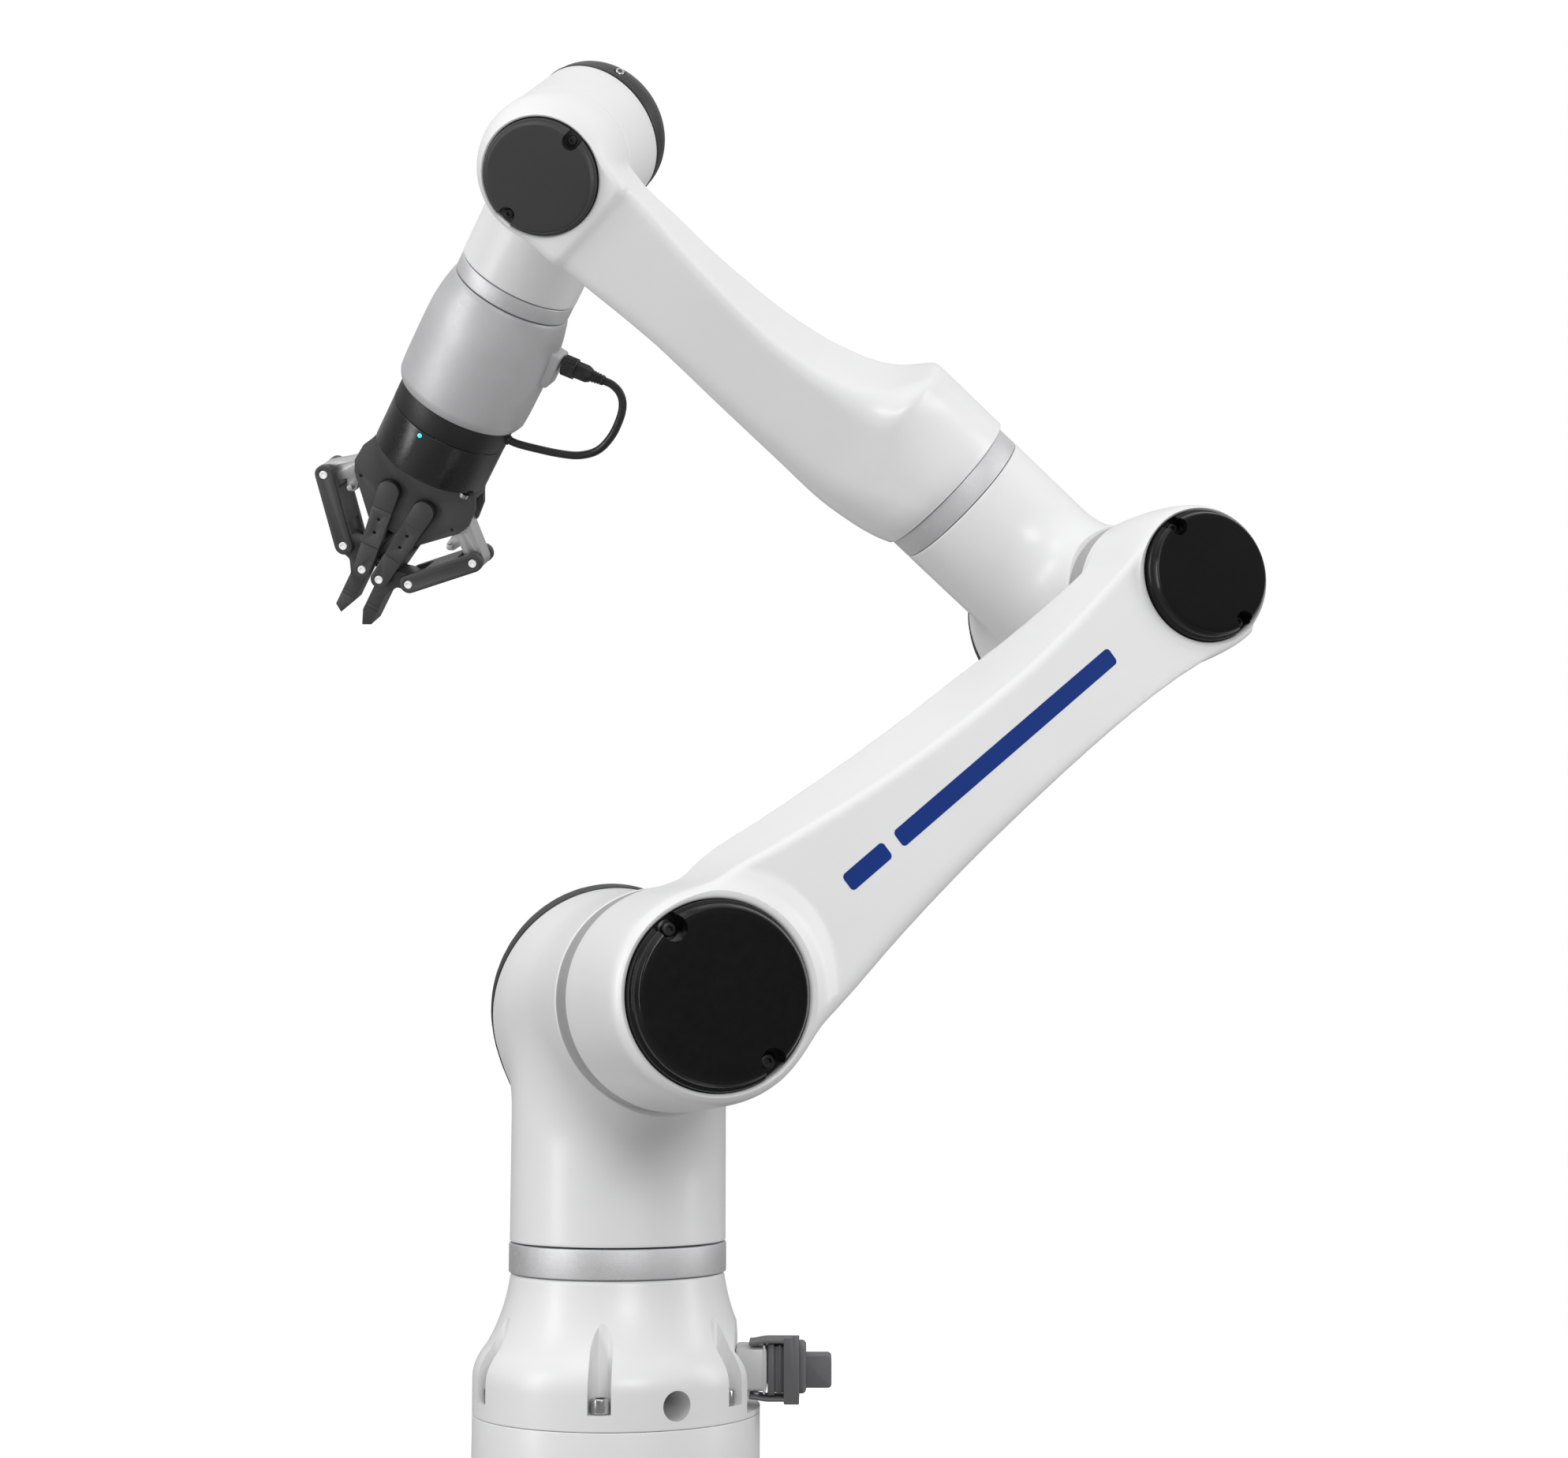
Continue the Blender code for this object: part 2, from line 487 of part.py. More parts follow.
CABLE_D = 5.0
CABLE_KNOTS = [(74.8, 0, 122.62), (80.0, 0, 122.2), (86.2, 0, 124.2), (91.0, 0, 129.5), (93.6, 0, 138.5), (94.0, 0, 151.5),
               (90.6, 0, 164.0), (82.0, 0, 173.2), (70.0, 0, 179.3), (55.2, 0, 184.6), (44.0, 0, 188.0), (36.6, 0, 188.9)]
pts, CABLE_LEN = smooth(CABLE_KNOTS, 36)
cu = bpy.data.curves.new("tool_cable", "CURVE")
cu.dimensions = "3D"
sp = cu.splines.new("POLY")
sp.points.add(len(pts) - 1)
for i, q in enumerate(pts):
    sp.points[i].co = (*(q * MM), 1.0)
cu.bevel_depth = CABLE_D / 2 * MM
cu.bevel_resolution = 2
cu.use_fill_caps = True
cu.materials.append(material("tool_cable_finish", *COLORS["rubber"]))
cable = bpy.data.objects.new("tool_cable", cu)
COLL.objects.link(cable)
cable.parent = AX6
cable.matrix_local = Matrix(AX6["rest"]).inverted() @ TOOL

# ---- gripper linkage: one crank, link, knuckle and fingertip on each side ---------------------
TH = FINGER_ANGLE
CT, ST = math.cos(TH), math.sin(TH)
CRANK_PIVOT = (30.6, 54.9)
KNUCKLE_PIVOT = (12.7, 61.4)
CRANK_PIN = (31.5, -4.1)        # crank pivot to link pin, fully open
LINK_PIN = (37.6, 43.0)         # crank pivot to fingertip pin, fully open
TIP_OFFSET = (-17.9, 6.5)       # between the fingertip's two pins


def turned(v):
    return (v[0] * CT - v[1] * ST, v[1] * CT + v[0] * ST)


def plus(a, b):
    return (a[0] + b[0], a[1] + b[1])


PA = plus(CRANK_PIVOT, turned(CRANK_PIN))
PB = plus(CRANK_PIVOT, turned(LINK_PIN))
PC = plus(PB, TIP_OFFSET)
PY = Matrix.Rotation(math.radians(-90), 4, "X")      # local Z along +Y

for side, sx in (("right", 1), ("left", -1)):
    def at(p, sx=sx):
        return (sx * p[0], p[1])

    def pin_frame(p, sx=sx):
        return GR @ Matrix.Translation((sx * p[0] * MM, 0, p[1] * MM)) @ PY

    def flip(outline, sx=sx):
        return [(sx * x, z) for x, z in outline]

    hinge_o = empty("axis_%s_crank" % side, GR @ Matrix.Translation((sx * CRANK_PIVOT[0] * MM, 0, CRANK_PIVOT[1] * MM)), AX6)
    hinge_k = empty("axis_%s_knuckle" % side, GR @ Matrix.Translation((sx * KNUCKLE_PIVOT[0] * MM, 0, KNUCKLE_PIVOT[1] * MM)), AX6)
    hinge_f = empty("axis_%s_fingertip" % side, GR @ Matrix.Translation((sx * PB[0] * MM, 0, PB[1] * MM)), hinge_o)

    crank = plate(side + "_crank", flip(capsule(CRANK_PIVOT, PA, 6.5, 5.6)), -6.2, 6.2, GR, hinge_o, "crank")
    stub = plus(CRANK_PIVOT, turned((19.0, 9.0)))
    fuse(crank, plate(side + "_crank_stub", flip(capsule(plus(CRANK_PIVOT, turned((14.0, 0.0))), stub, 5.0, 3.4, 6)), -6.1, 6.1, GR))
    cut(crank, cyl(side + "_crank_eye", 3.0, -20, 20, pin_frame(PA), seg=14))

    link = plate(side + "_link", flip(capsule(PA, PB, 5.9, 5.9)), -12.8, 12.8, GR, hinge_o, "anodised")
    mid_lo = plus(PA, (0, 0))
    d = Vector((PB[0] - PA[0], PB[1] - PA[1])).normalized()
    nrm = Vector((-d.y, d.x))
    inner = []
    for t, w in ((-12, 9), (-12, -9), (11, -9), (11, -2.5), (34.0, -2.5), (34.0, -9), (62, -9), (62, 9)):
        inner.append((PA[0] + d.x * t - nrm.x * w, PA[1] + d.y * t - nrm.y * w))
    cut(link, plate(side + "_link_gap", flip(inner), -8.2, 8.2, GR))
    cut(link, cyl(side + "_link_eye_a", 3.0, -20, 20, pin_frame(PA), seg=14))
    cut(link, cyl(side + "_link_eye_b", 3.0, -20, 20, pin_frame(PB), seg=14))

    knuckle = plate(side + "_knuckle", flip(capsule(KNUCKLE_PIVOT, PC, 5.6, 5.6)), -15.2, 15.2, GR, hinge_k, "anodised")
    dk = Vector((PC[0] - KNUCKLE_PIVOT[0], PC[1] - KNUCKLE_PIVOT[1])).normalized()
    nk = Vector((-dk.y, dk.x))
    for tag, t0, t1, h in (("palm", -12.0, 36.0, 10.9), ("tip", 47.0, 72.0, 8.6)):
        gap = [(KNUCKLE_PIVOT[0] + dk.x * t + nk.x * w, KNUCKLE_PIVOT[1] + dk.y * t + nk.y * w) for t, w in ((t0, 9), (t0, -9), (t1, -9), (t1, 9))]
        cut(knuckle, plate(side + "_knuckle_gap_" + tag, flip(gap), -h, h, GR))
    cut(knuckle, cyl(side + "_knuckle_eye", 3.0, -20, 20, pin_frame(PC), seg=14))

    tip_outline = [(PC[0] - 2.3, PC[1] - 5.0), (PC[0] - 2.3, 141.0), (PC[0] - 2.3, 146.0), (PC[0] + 1.6, 156.0), (PC[0] + 7.0, 152.5),
                   (PC[0] + 7.0, 127.0), (PC[0] + 11.0, 120.0), (PB[0] - 1.0, PB[1] + 5.6), (PB[0] + 5.0, PB[1] + 1.8), (PB[0] + 4.6, PB[1] - 3.6), (PB[0] - 1.6, PB[1] - 5.3)]
    tip = plate(side + "_fingertip", flip(tip_outline), -8.2, 8.2, GR, hinge_f, "anodised")
    tip.name = side + "_fingertip"
    cut(tip, cyl(side + "_tip_eye_b", 3.0, -20, 20, pin_frame(PB), seg=14))
    cut(tip, cyl(side + "_tip_eye_c", 3.0, -20, 20, pin_frame(PC), seg=14))

    cyl(side + "_pin_a", 2.5, -13.4, 13.4, pin_frame(PA), hinge_o, "pin", seg=14)
    cyl(side + "_pin_b", 2.5, -13.4, 13.4, pin_frame(PB), hinge_o, "pin", seg=14)
    cyl(side + "_pin_c", 2.5, -15.8, 15.8, pin_frame(PC), hinge_k, "pin", seg=14)

# round pieces are shaded smooth, and points that cuts leave twice are joined
for ob in COLL.objects:
    if ob.type == "MESH":
        if any(m.type == "BOOLEAN" for m in ob.modifiers):
            weld = ob.modifiers.new("weld", "WELD")
            weld.merge_threshold = 0.00002
        ob.data.shade_smooth()
        ob.data.set_sharp_from_angle(angle=math.radians(35))
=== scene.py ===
"""Looks of the collaborative robot arm: fine castings, caps, rings, gripper and studio."""
import math

import bmesh
import bpy
import numpy as np
from mathutils import Matrix, Vector


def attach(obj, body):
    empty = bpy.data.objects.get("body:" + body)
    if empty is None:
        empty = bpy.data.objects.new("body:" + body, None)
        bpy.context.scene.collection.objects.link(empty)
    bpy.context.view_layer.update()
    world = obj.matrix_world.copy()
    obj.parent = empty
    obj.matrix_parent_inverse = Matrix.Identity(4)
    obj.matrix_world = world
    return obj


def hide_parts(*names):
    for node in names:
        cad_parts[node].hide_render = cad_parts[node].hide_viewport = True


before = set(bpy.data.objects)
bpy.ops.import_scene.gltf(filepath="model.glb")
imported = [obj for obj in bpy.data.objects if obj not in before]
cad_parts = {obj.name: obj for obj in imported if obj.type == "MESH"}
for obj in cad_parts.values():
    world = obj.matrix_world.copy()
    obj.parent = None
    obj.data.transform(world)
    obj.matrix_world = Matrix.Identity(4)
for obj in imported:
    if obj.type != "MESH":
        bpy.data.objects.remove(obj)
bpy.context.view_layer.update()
MM = 0.001
scene = bpy.context.scene

# ---------------------------------------------------------------- frames (mm), as the CAD has them
PLINTH_H, J2_HEIGHT, UPPER_LEN, FORE_LEN, GRIP_S = 60.0, 224.2, 380.0, 418.7, 193.8
UPPER_ELEV, FORE_ELEV, J4_ANGLE, J5_ANGLE, J6_ANGLE, TH = 38.61, 140.45, -42.35, 104.53, 3.81, 0.83


def mat4(origin, x, y, z):
    m = np.eye(4)
    for i, a in enumerate((x, y, z)):
        m[:3, i] = a
    m[:3, 3] = origin
    return m


def shift(x, y, z):
    m = np.eye(4)
    m[:3, 3] = (x, y, z)
    return m


def rot(deg, axis):
    return np.array(Matrix.Rotation(math.radians(deg), 4, axis))


c2, s2 = math.cos(math.radians(UPPER_ELEV)), math.sin(math.radians(UPPER_ELEV))
cf, sf = math.cos(math.radians(FORE_ELEV)), math.sin(math.radians(FORE_ELEV))
X, Y, Z = np.eye(3)
P2 = np.array([0, 0, PLINTH_H + J2_HEIGHT])
UP_DIR = np.array([c2, 0, s2])
P3 = P2 + UPPER_LEN * UP_DIR
A4 = np.array([cf, 0, sf])
N5 = math.cos(math.radians(J4_ANGLE)) * -Y + math.sin(math.radians(J4_ANGLE)) * np.cross(A4, -Y)
P5 = P3 + FORE_LEN * A4
A6 = math.cos(math.radians(J5_ANGLE)) * A4 + math.sin(math.radians(J5_ANGLE)) * np.cross(N5, A4)
PIN = math.cos(math.radians(J6_ANGLE)) * N5 + math.sin(math.radians(J6_ANGLE)) * np.cross(A6, N5)
SIDE = np.cross(PIN, A6)
M_BASE = mat4((0, 0, PLINTH_H), X, Y, Z)
M_SHOULDER = mat4(P2, X, Y, Z)
M_UPPER = mat4(P2, UP_DIR, Y, np.cross(UP_DIR, Y))
M_ELBOW = mat4(P3, np.cross(Y, -A4), Y, -A4)
M_FORE = mat4(P3, A4, -N5, np.cross(A4, -N5))
M_WRIST = mat4(P5, np.cross(-N5, -A6), -N5, -A6)
M_TOOL = mat4(P5, SIDE, PIN, A6)
FLIP = rot(90, "X")
UF = M_UPPER @ FLIP
UE = M_UPPER @ shift(UPPER_LEN, 0, 0) @ FLIP
FE = M_FORE @ shift(FORE_LEN, 0, 0) @ FLIP
FA = M_FORE @ rot(90, "Y")
GR = M_TOOL @ shift(0, 0, GRIP_S)


def around(azimuth):
    return M_BASE @ rot(azimuth - 90, "Z")


CON = around(70)

# ---------------------------------------------------------------- camera and the tool cable
PITCH, YAW = math.radians(7.57), math.radians(19.28)
F = Vector((math.sin(YAW) * math.cos(PITCH), math.cos(YAW) * math.cos(PITCH), math.sin(PITCH)))
R = Vector((math.cos(YAW), -math.sin(YAW), 0))
U = R.cross(F)
cam_data = bpy.data.cameras.new("camera")
cam_data.lens, cam_data.sensor_width, cam_data.sensor_fit = 55.09, 36.0, "HORIZONTAL"
cam_data.clip_start, cam_data.clip_end = 0.05, 50
cam = bpy.data.objects.new("camera", cam_data)
scene.collection.objects.link(cam)
cam.matrix_world = Matrix(((R.x, U.x, -F.x, -0.36337), (R.y, U.y, -F.y, -1.3195), (R.z, U.z, -F.z, 0.25853), (0, 0, 0, 1)))
scene.camera = cam


# ---------------------------------------------------------------- materials
def noise(nt, coord, scale, detail=2.0, rough=0.5):
    n = nt.nodes.new("ShaderNodeTexNoise")
    n.inputs["Scale"].default_value = scale
    n.inputs["Detail"].default_value = detail
    n.inputs["Roughness"].default_value = rough
    nt.links.new(coord, n.inputs["Vector"])
    return n


def ramp(nt, fac, lo, hi, a=0.3, b=0.7):
    r = nt.nodes.new("ShaderNodeValToRGB")
    r.color_ramp.elements[0].position, r.color_ramp.elements[1].position = a, b
    r.color_ramp.elements[0].color = (*lo, 1.0)
    r.color_ramp.elements[1].color = (*hi, 1.0)
    nt.links.new(fac, r.inputs["Fac"])
    return r


def finish(name, color, rough, metal=0.0, var=0.03, rvar=0.05, grain=1400.0, bump=0.05, dist=0.00004, cloud=18.0,
           coat=0.0, coat_rough=0.2, spec=0.5, wear=0.0, emit=None, stretch=None):
    """Principled finish with cloudy tone changes, uneven roughness and a fine grain."""
    m = bpy.data.materials.new(name)
    m.use_nodes = True
    nt = m.node_tree
    b = nt.nodes["Principled BSDF"]
    tc = nt.nodes.new("ShaderNodeTexCoord").outputs["Object"]
    src = tc
    if stretch is not None:
        mp = nt.nodes.new("ShaderNodeMapping")
        mp.inputs["Scale"].default_value = stretch
        nt.links.new(tc, mp.inputs["Vector"])
        src = mp.outputs["Vector"]
    big = noise(nt, tc, cloud, 3.0, 0.55)
    lo = [max(0.0, c * (1 - var)) for c in color]
    hi = [min(1.0, c * (1 + var)) for c in color]
    tone = ramp(nt, big.outputs["Fac"], lo, hi)
    nt.links.new(tone.outputs["Color"], b.inputs["Base Color"])
    mid = noise(nt, src, grain * 0.25, 4.0, 0.6)
    rr = ramp(nt, mid.outputs["Fac"], (max(0.02, rough - rvar),) * 3, (min(1.0, rough + rvar),) * 3)
    nt.links.new(rr.outputs["Color"], b.inputs["Roughness"])
    fine = noise(nt, src, grain, 2.0, 0.6)
    bp = nt.nodes.new("ShaderNodeBump")
    bp.inputs["Strength"].default_value = bump
    bp.inputs["Distance"].default_value = dist
    nt.links.new(fine.outputs["Fac"], bp.inputs["Height"])
    nt.links.new(bp.outputs["Normal"], b.inputs["Normal"])
    b.inputs["Metallic"].default_value = metal
    b.inputs["Specular IOR Level"].default_value = spec
    b.inputs["Coat Weight"].default_value = coat
    b.inputs["Coat Roughness"].default_value = coat_rough
    if emit is not None:
        b.inputs["Emission Color"].default_value = (*emit[:3], 1.0)
        b.inputs["Emission Strength"].default_value = emit[3]
    m.diffuse_color = (*color, 1.0)
    return m


MATS = {
    "white": finish("white_satin_paint", (0.80, 0.80, 0.805), 0.36, var=0.012, rvar=0.04, grain=1500, bump=0.10, dist=0.00003, coat=0.12, coat_rough=0.22),
    "ring": finish("bead_blasted_aluminium", (0.67, 0.67, 0.68), 0.5, 0.8, var=0.05, rvar=0.1, grain=2600, bump=1.0, dist=0.00014, cloud=40),
    "grey": finish("grey_seal_ring", (0.40, 0.40, 0.405), 0.42, 0.25, var=0.03, rvar=0.05, grain=2200, bump=0.15),
    "gloss_black": finish("gloss_black_cap", (0.0035, 0.0035, 0.0037), 0.2, var=0.2, rvar=0.03, grain=900, bump=0.03, dist=0.00002, coat=0.1, coat_rough=0.1, spec=0.25),
    "matt_black": finish("matt_moulded_cover", (0.024, 0.024, 0.025), 0.45, var=0.1, rvar=0.06, grain=2600, bump=0.25),
    "silver": finish("silver_metallic_paint", (0.54, 0.54, 0.55), 0.5, 0.45, var=0.05, rvar=0.08, grain=3200, bump=0.4, dist=0.00005, cloud=26),
    "anodised": finish("black_hard_anodising", (0.056, 0.056, 0.057), 0.42, 0.15, var=0.12, rvar=0.07, grain=2400, bump=0.25, dist=0.00004),
    "barrel": finish("black_turned_barrel", (0.022, 0.022, 0.023), 0.24, 0.35, var=0.12, rvar=0.06, grain=2400, bump=0.2, dist=0.00004),
    "coupling": finish("matt_black_coupling", (0.006, 0.006, 0.0062), 0.45, 0.0, var=0.12, rvar=0.06, grain=2400, bump=0.25),
    "crank": finish("satin_bare_aluminium", (0.55, 0.55, 0.555), 0.36, 0.85, var=0.06, rvar=0.08, grain=1600, bump=0.3, stretch=(1.0, 1.0, 0.12)),
    "pin": finish("bright_pin_ends", (0.98, 0.98, 0.98), 0.4, 0.0, var=0.02, rvar=0.05, grain=2000, bump=0.05),
    "steel": finish("zinc_plated_steel", (0.52, 0.52, 0.52), 0.24, 1.0, var=0.08, rvar=0.07, grain=1800, bump=0.15),
    "black_screw": finish("black_oxide_screw", (0.02, 0.02, 0.02), 0.35, 0.5, var=0.15, rvar=0.07, grain=1800, bump=0.2),
    "led": finish("cyan_lens", (0.02, 0.75, 0.82), 0.25, var=0.05, emit=(0.02, 0.85, 0.95, 2.2)),
    "rubber": finish("black_cable_jacket", (0.012, 0.012, 0.012), 0.32, var=0.15, rvar=0.05, grain=1500, bump=0.15),
    "plug": finish("black_moulded_plug", (0.016, 0.016, 0.0165), 0.38, var=0.12, rvar=0.06, grain=2200, bump=0.25),
    "con_grey": finish("grey_die_cast_housing", (0.66, 0.66, 0.665), 0.42, 0.2, var=0.05, rvar=0.06, grain=2000, bump=0.35),
    "con_dark": finish("dark_grey_hood", (0.135, 0.135, 0.14), 0.45, 0.0, var=0.06, rvar=0.06, grain=2000, bump=0.3),
    "drive": finish("machined_drive_unit", (0.20, 0.20, 0.21), 0.4, 0.8, var=0.08, rvar=0.08, grain=1400, bump=0.3),
    "stripe": finish("blue_marking_film", (0.0005, 0.028, 0.20), 0.55, var=0.04, rvar=0.05, grain=1800, bump=0.08, spec=0.2),
    # near-black lining for the insides of seams and gaps: painted shade standing in for the shadow there; no piece uses
    # it
    "painted_gap_shade": finish("painted_shade_gap_lining", (0.02, 0.02, 0.02), 0.7, var=0.1, rvar=0.05, grain=900, bump=0.1),
}


# ---------------------------------------------------------------- small geometry tools
def place(name, me, body, nodes, mat, angle=32, extra=()):
    """Object from a mesh that already holds the part's own coordinates, in metres."""
    ob = bpy.data.objects.new(name, me) if isinstance(me, bpy.types.Mesh) else me
    ob.name = name
    if ob.name not in scene.collection.objects and not ob.users_collection:
        scene.collection.objects.link(ob)
    ob.hide_render = False
    if ob.type == "MESH":
        ob.data.materials.clear()
        ob.data.materials.append(MATS[mat])
        ob.data.shade_smooth()
        ob.data.set_sharp_from_angle(angle=math.radians(angle))
    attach(ob, body)
    if nodes:
        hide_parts(*nodes)
    return ob


def bm_mesh(name, bm, world, recalc=True):
    bm.transform(Matrix(world.tolist()))
    bm.transform(Matrix.Scale(MM, 4))
    if recalc:
        bmesh.ops.recalc_face_normals(bm, faces=bm.faces)
    me = bpy.data.meshes.new(name)
    bm.to_mesh(me)
    bm.free()
    return me


def round_poly(pts, closed=False, n=5):
    """Polyline with each corner (x, y, radius) turned into an arc."""
    out, total = [], len(pts)
    for i, p in enumerate(pts):
        c = np.array(p[:2], float)
        rad = p[2] if len(p) > 2 else 0.0
        if rad <= 0 or (not closed and i in (0, total - 1)):
            out.append(tuple(c))
            continue
        a, b = np.array(pts[i - 1][:2], float) - c, np.array(pts[(i + 1) % total][:2], float) - c
        la, lb = np.linalg.norm(a), np.linalg.norm(b)
        a, b = a / la, b / lb
        ang = math.acos(max(-1.0, min(1.0, float(a @ b))))
        if ang > math.pi - 0.02 or ang < 0.02:
            out.append(tuple(c))
            continue
        t = min(rad / math.tan(ang / 2), la * 0.49, lb * 0.49)
        r = t * math.tan(ang / 2)
        centre = c + (a + b) / np.linalg.norm(a + b) * r / math.sin(ang / 2)
        p0, p1 = c + a * t - centre, c + b * t - centre
        a0, a1 = math.atan2(p0[1], p0[0]), math.atan2(p1[1], p1[0])
        d = (a1 - a0 + math.pi) % (2 * math.pi) - math.pi
        for k in range(n + 1):
            th = a0 + d * k / n
            out.append((centre[0] + r * math.cos(th), centre[1] + r * math.sin(th)))
    return out


def turn_bm(prof, seg=128, wave=None, closed=False):
    """Turned surface about local Z from (r, z) pairs; r = 0 makes a pole."""
    bm = bmesh.new()
    rows = []
    for i, (r, z) in enumerate(prof):
        if r < 1e-6:
            rows.append([bm.verts.new((0, 0, z))])
            continue
        row = []
        for k in range(seg):
            t = 2 * math.pi * k / seg
            rr = r if wave is None else wave(r, z, t)
            row.append(bm.verts.new((rr * math.cos(t), rr * math.sin(t), z)))
        rows.append(row)
    pairs = list(zip(rows, rows[1:]))
    if closed:
        pairs.append((rows[-1], rows[0]))
    for a, b in pairs:
        if len(a) == 1 and len(b) == 1:
            continue
        for k in range(seg):
            j = (k + 1) % seg
            if len(a) == 1:
                bm.faces.new((a[0], b[k], b[j]))
            elif len(b) == 1:
                bm.faces.new((a[k], b[0], a[j]))
            else:
                bm.faces.new((a[k], b[k], b[j], a[j]))
    return bm


def turn(name, prof, world, seg=128, wave=None, closed=False):
    return bm_mesh(name, turn_bm(prof, seg, wave, closed), world)


def prism_bm(outline, t0, t1):
    """Outline of (x, z) pairs extruded along local Y."""
    bm = bmesh.new()
    a = [bm.verts.new((x, t0, z)) for x, z in outline]
    b = [bm.verts.new((x, t1, z)) for x, z in outline]
    n = len(a)
    bm.faces.new(a)
    bm.faces.new(b[::-1])
    for i in range(n):
        bm.faces.new((a[i], b[i], b[(i + 1) % n], a[(i + 1) % n]))
    return bm


def prism(name, outline, t0, t1, world):
    return bm_mesh(name, prism_bm(outline, t0, t1), world)


def box_bm(lo, hi):
    bm = bmesh.new()
    bmesh.ops.create_cube(bm, size=1.0)
    bmesh.ops.scale(bm, vec=[h - l for l, h in zip(lo, hi)], verts=bm.verts)
    bmesh.ops.translate(bm, vec=[(h + l) / 2 for l, h in zip(lo, hi)], verts=bm.verts)
    return bm


def block(name, lo, hi, world):
    return bm_mesh(name, box_bm(lo, hi), world)


def capsule(a, b, ra, rb, n=16):
    a, b = np.array(a, float), np.array(b, float)
    d = b - a
    ang = math.atan2(d[1], d[0])
    pts = [a + ra * np.array((math.cos(t), math.sin(t))) for t in np.linspace(ang + math.pi / 2, ang + 1.5 * math.pi, n)]
    pts += [b + rb * np.array((math.cos(t), math.sin(t))) for t in np.linspace(ang - math.pi / 2, ang + math.pi / 2, n)]
    return [tuple(p) for p in pts]


def rod(name, r, z0, z1, world, seg=32):
    return turn(name, [(0, z1), (r, z1), (r, z0), (0, z0)], world, seg)


def solid(name, me, cuts=(), joins=(), bevel=0.0, segs=2, angle=35, weighted=True):
    """Mesh after unions, cuts and a bevel."""
    ob = bpy.data.objects.new(name, me)
    scene.collection.objects.link(ob)
    tools = []
    for op, group in (("UNION", joins), ("DIFFERENCE", cuts)):
        for k, t in enumerate(group):
            o = bpy.data.objects.new(name + "_tool", t)
            scene.collection.objects.link(o)
            tools.append(o)
            md = ob.modifiers.new(op, "BOOLEAN")
            md.operation, md.solver, md.object = op, "EXACT", o
    if bevel > 0:
        w = ob.modifiers.new("weld", "WELD")
        w.merge_threshold = 0.00002
        bv = ob.modifiers.new("bevel", "BEVEL")
        bv.width, bv.segments, bv.limit_method, bv.angle_limit = bevel * MM, segs, "ANGLE", math.radians(angle)
        bv.use_clamp_overlap = True
        bv.miter_outer = "MITER_ARC"
    if bevel > 0 and weighted:
        ob.modifiers.new("weights", "WEIGHTED_NORMAL").keep_sharp = True
    dep = bpy.context.evaluated_depsgraph_get()
    dep.update()
    baked = bpy.data.meshes.new_from_object(ob.evaluated_get(dep))
    bpy.data.objects.remove(ob)
    for o in tools:
        bpy.data.objects.remove(o)
    return baked


def pchip(pts):
    x = np.array([p[0] for p in pts], float)
    y = np.array([p[1] for p in pts], float)
    h = np.diff(x)
    d = np.diff(y) / h
    m = np.zeros_like(x)
    for i in range(1, len(x) - 1):
        if d[i - 1] * d[i] > 0:
            w1, w2 = 2 * h[i] + h[i - 1], h[i] + 2 * h[i - 1]
            m[i] = (w1 + w2) / (w1 / d[i - 1] + w2 / d[i])
    m[0], m[-1] = d[0], d[-1]

    def f(t):
        t = np.clip(t, x[0], x[-1])
        i = np.clip(np.searchsorted(x, t, side="right") - 1, 0, len(h) - 1)
        s = (t - x[i]) / h[i]
        return ((2 * s**3 - 3 * s**2 + 1) * y[i] + (s**3 - 2 * s**2 + s) * h[i] * m[i]
                + (-2 * s**3 + 3 * s**2) * y[i + 1] + (s**3 - s**2) * h[i] * m[i + 1])
    return f


def flow(pts, sigma):
    """Smooth curve through the points, softened over sigma (mm)."""
    f = pchip(pts)
    x0, x1 = pts[0][0] - 4 * sigma, pts[-1][0] + 4 * sigma
    t = np.arange(x0, x1, 0.5)
    y = f(t)
    k = np.exp(-0.5 * (np.arange(-int(8 * sigma), int(8 * sigma) + 1) * 0.5 / sigma) ** 2)
    k /= k.sum()
    pad = len(k) // 2
    y = np.convolve(np.pad(y, pad, mode="edge"), k, mode="valid")
    return lambda q: np.interp(q, t, y)


def smin(a, b, k):
    k = np.maximum(k, 1e-4)
    h = np.maximum(k - np.abs(a - b), 0) / k
    return np.minimum(a, b) - h * h * k * 0.25


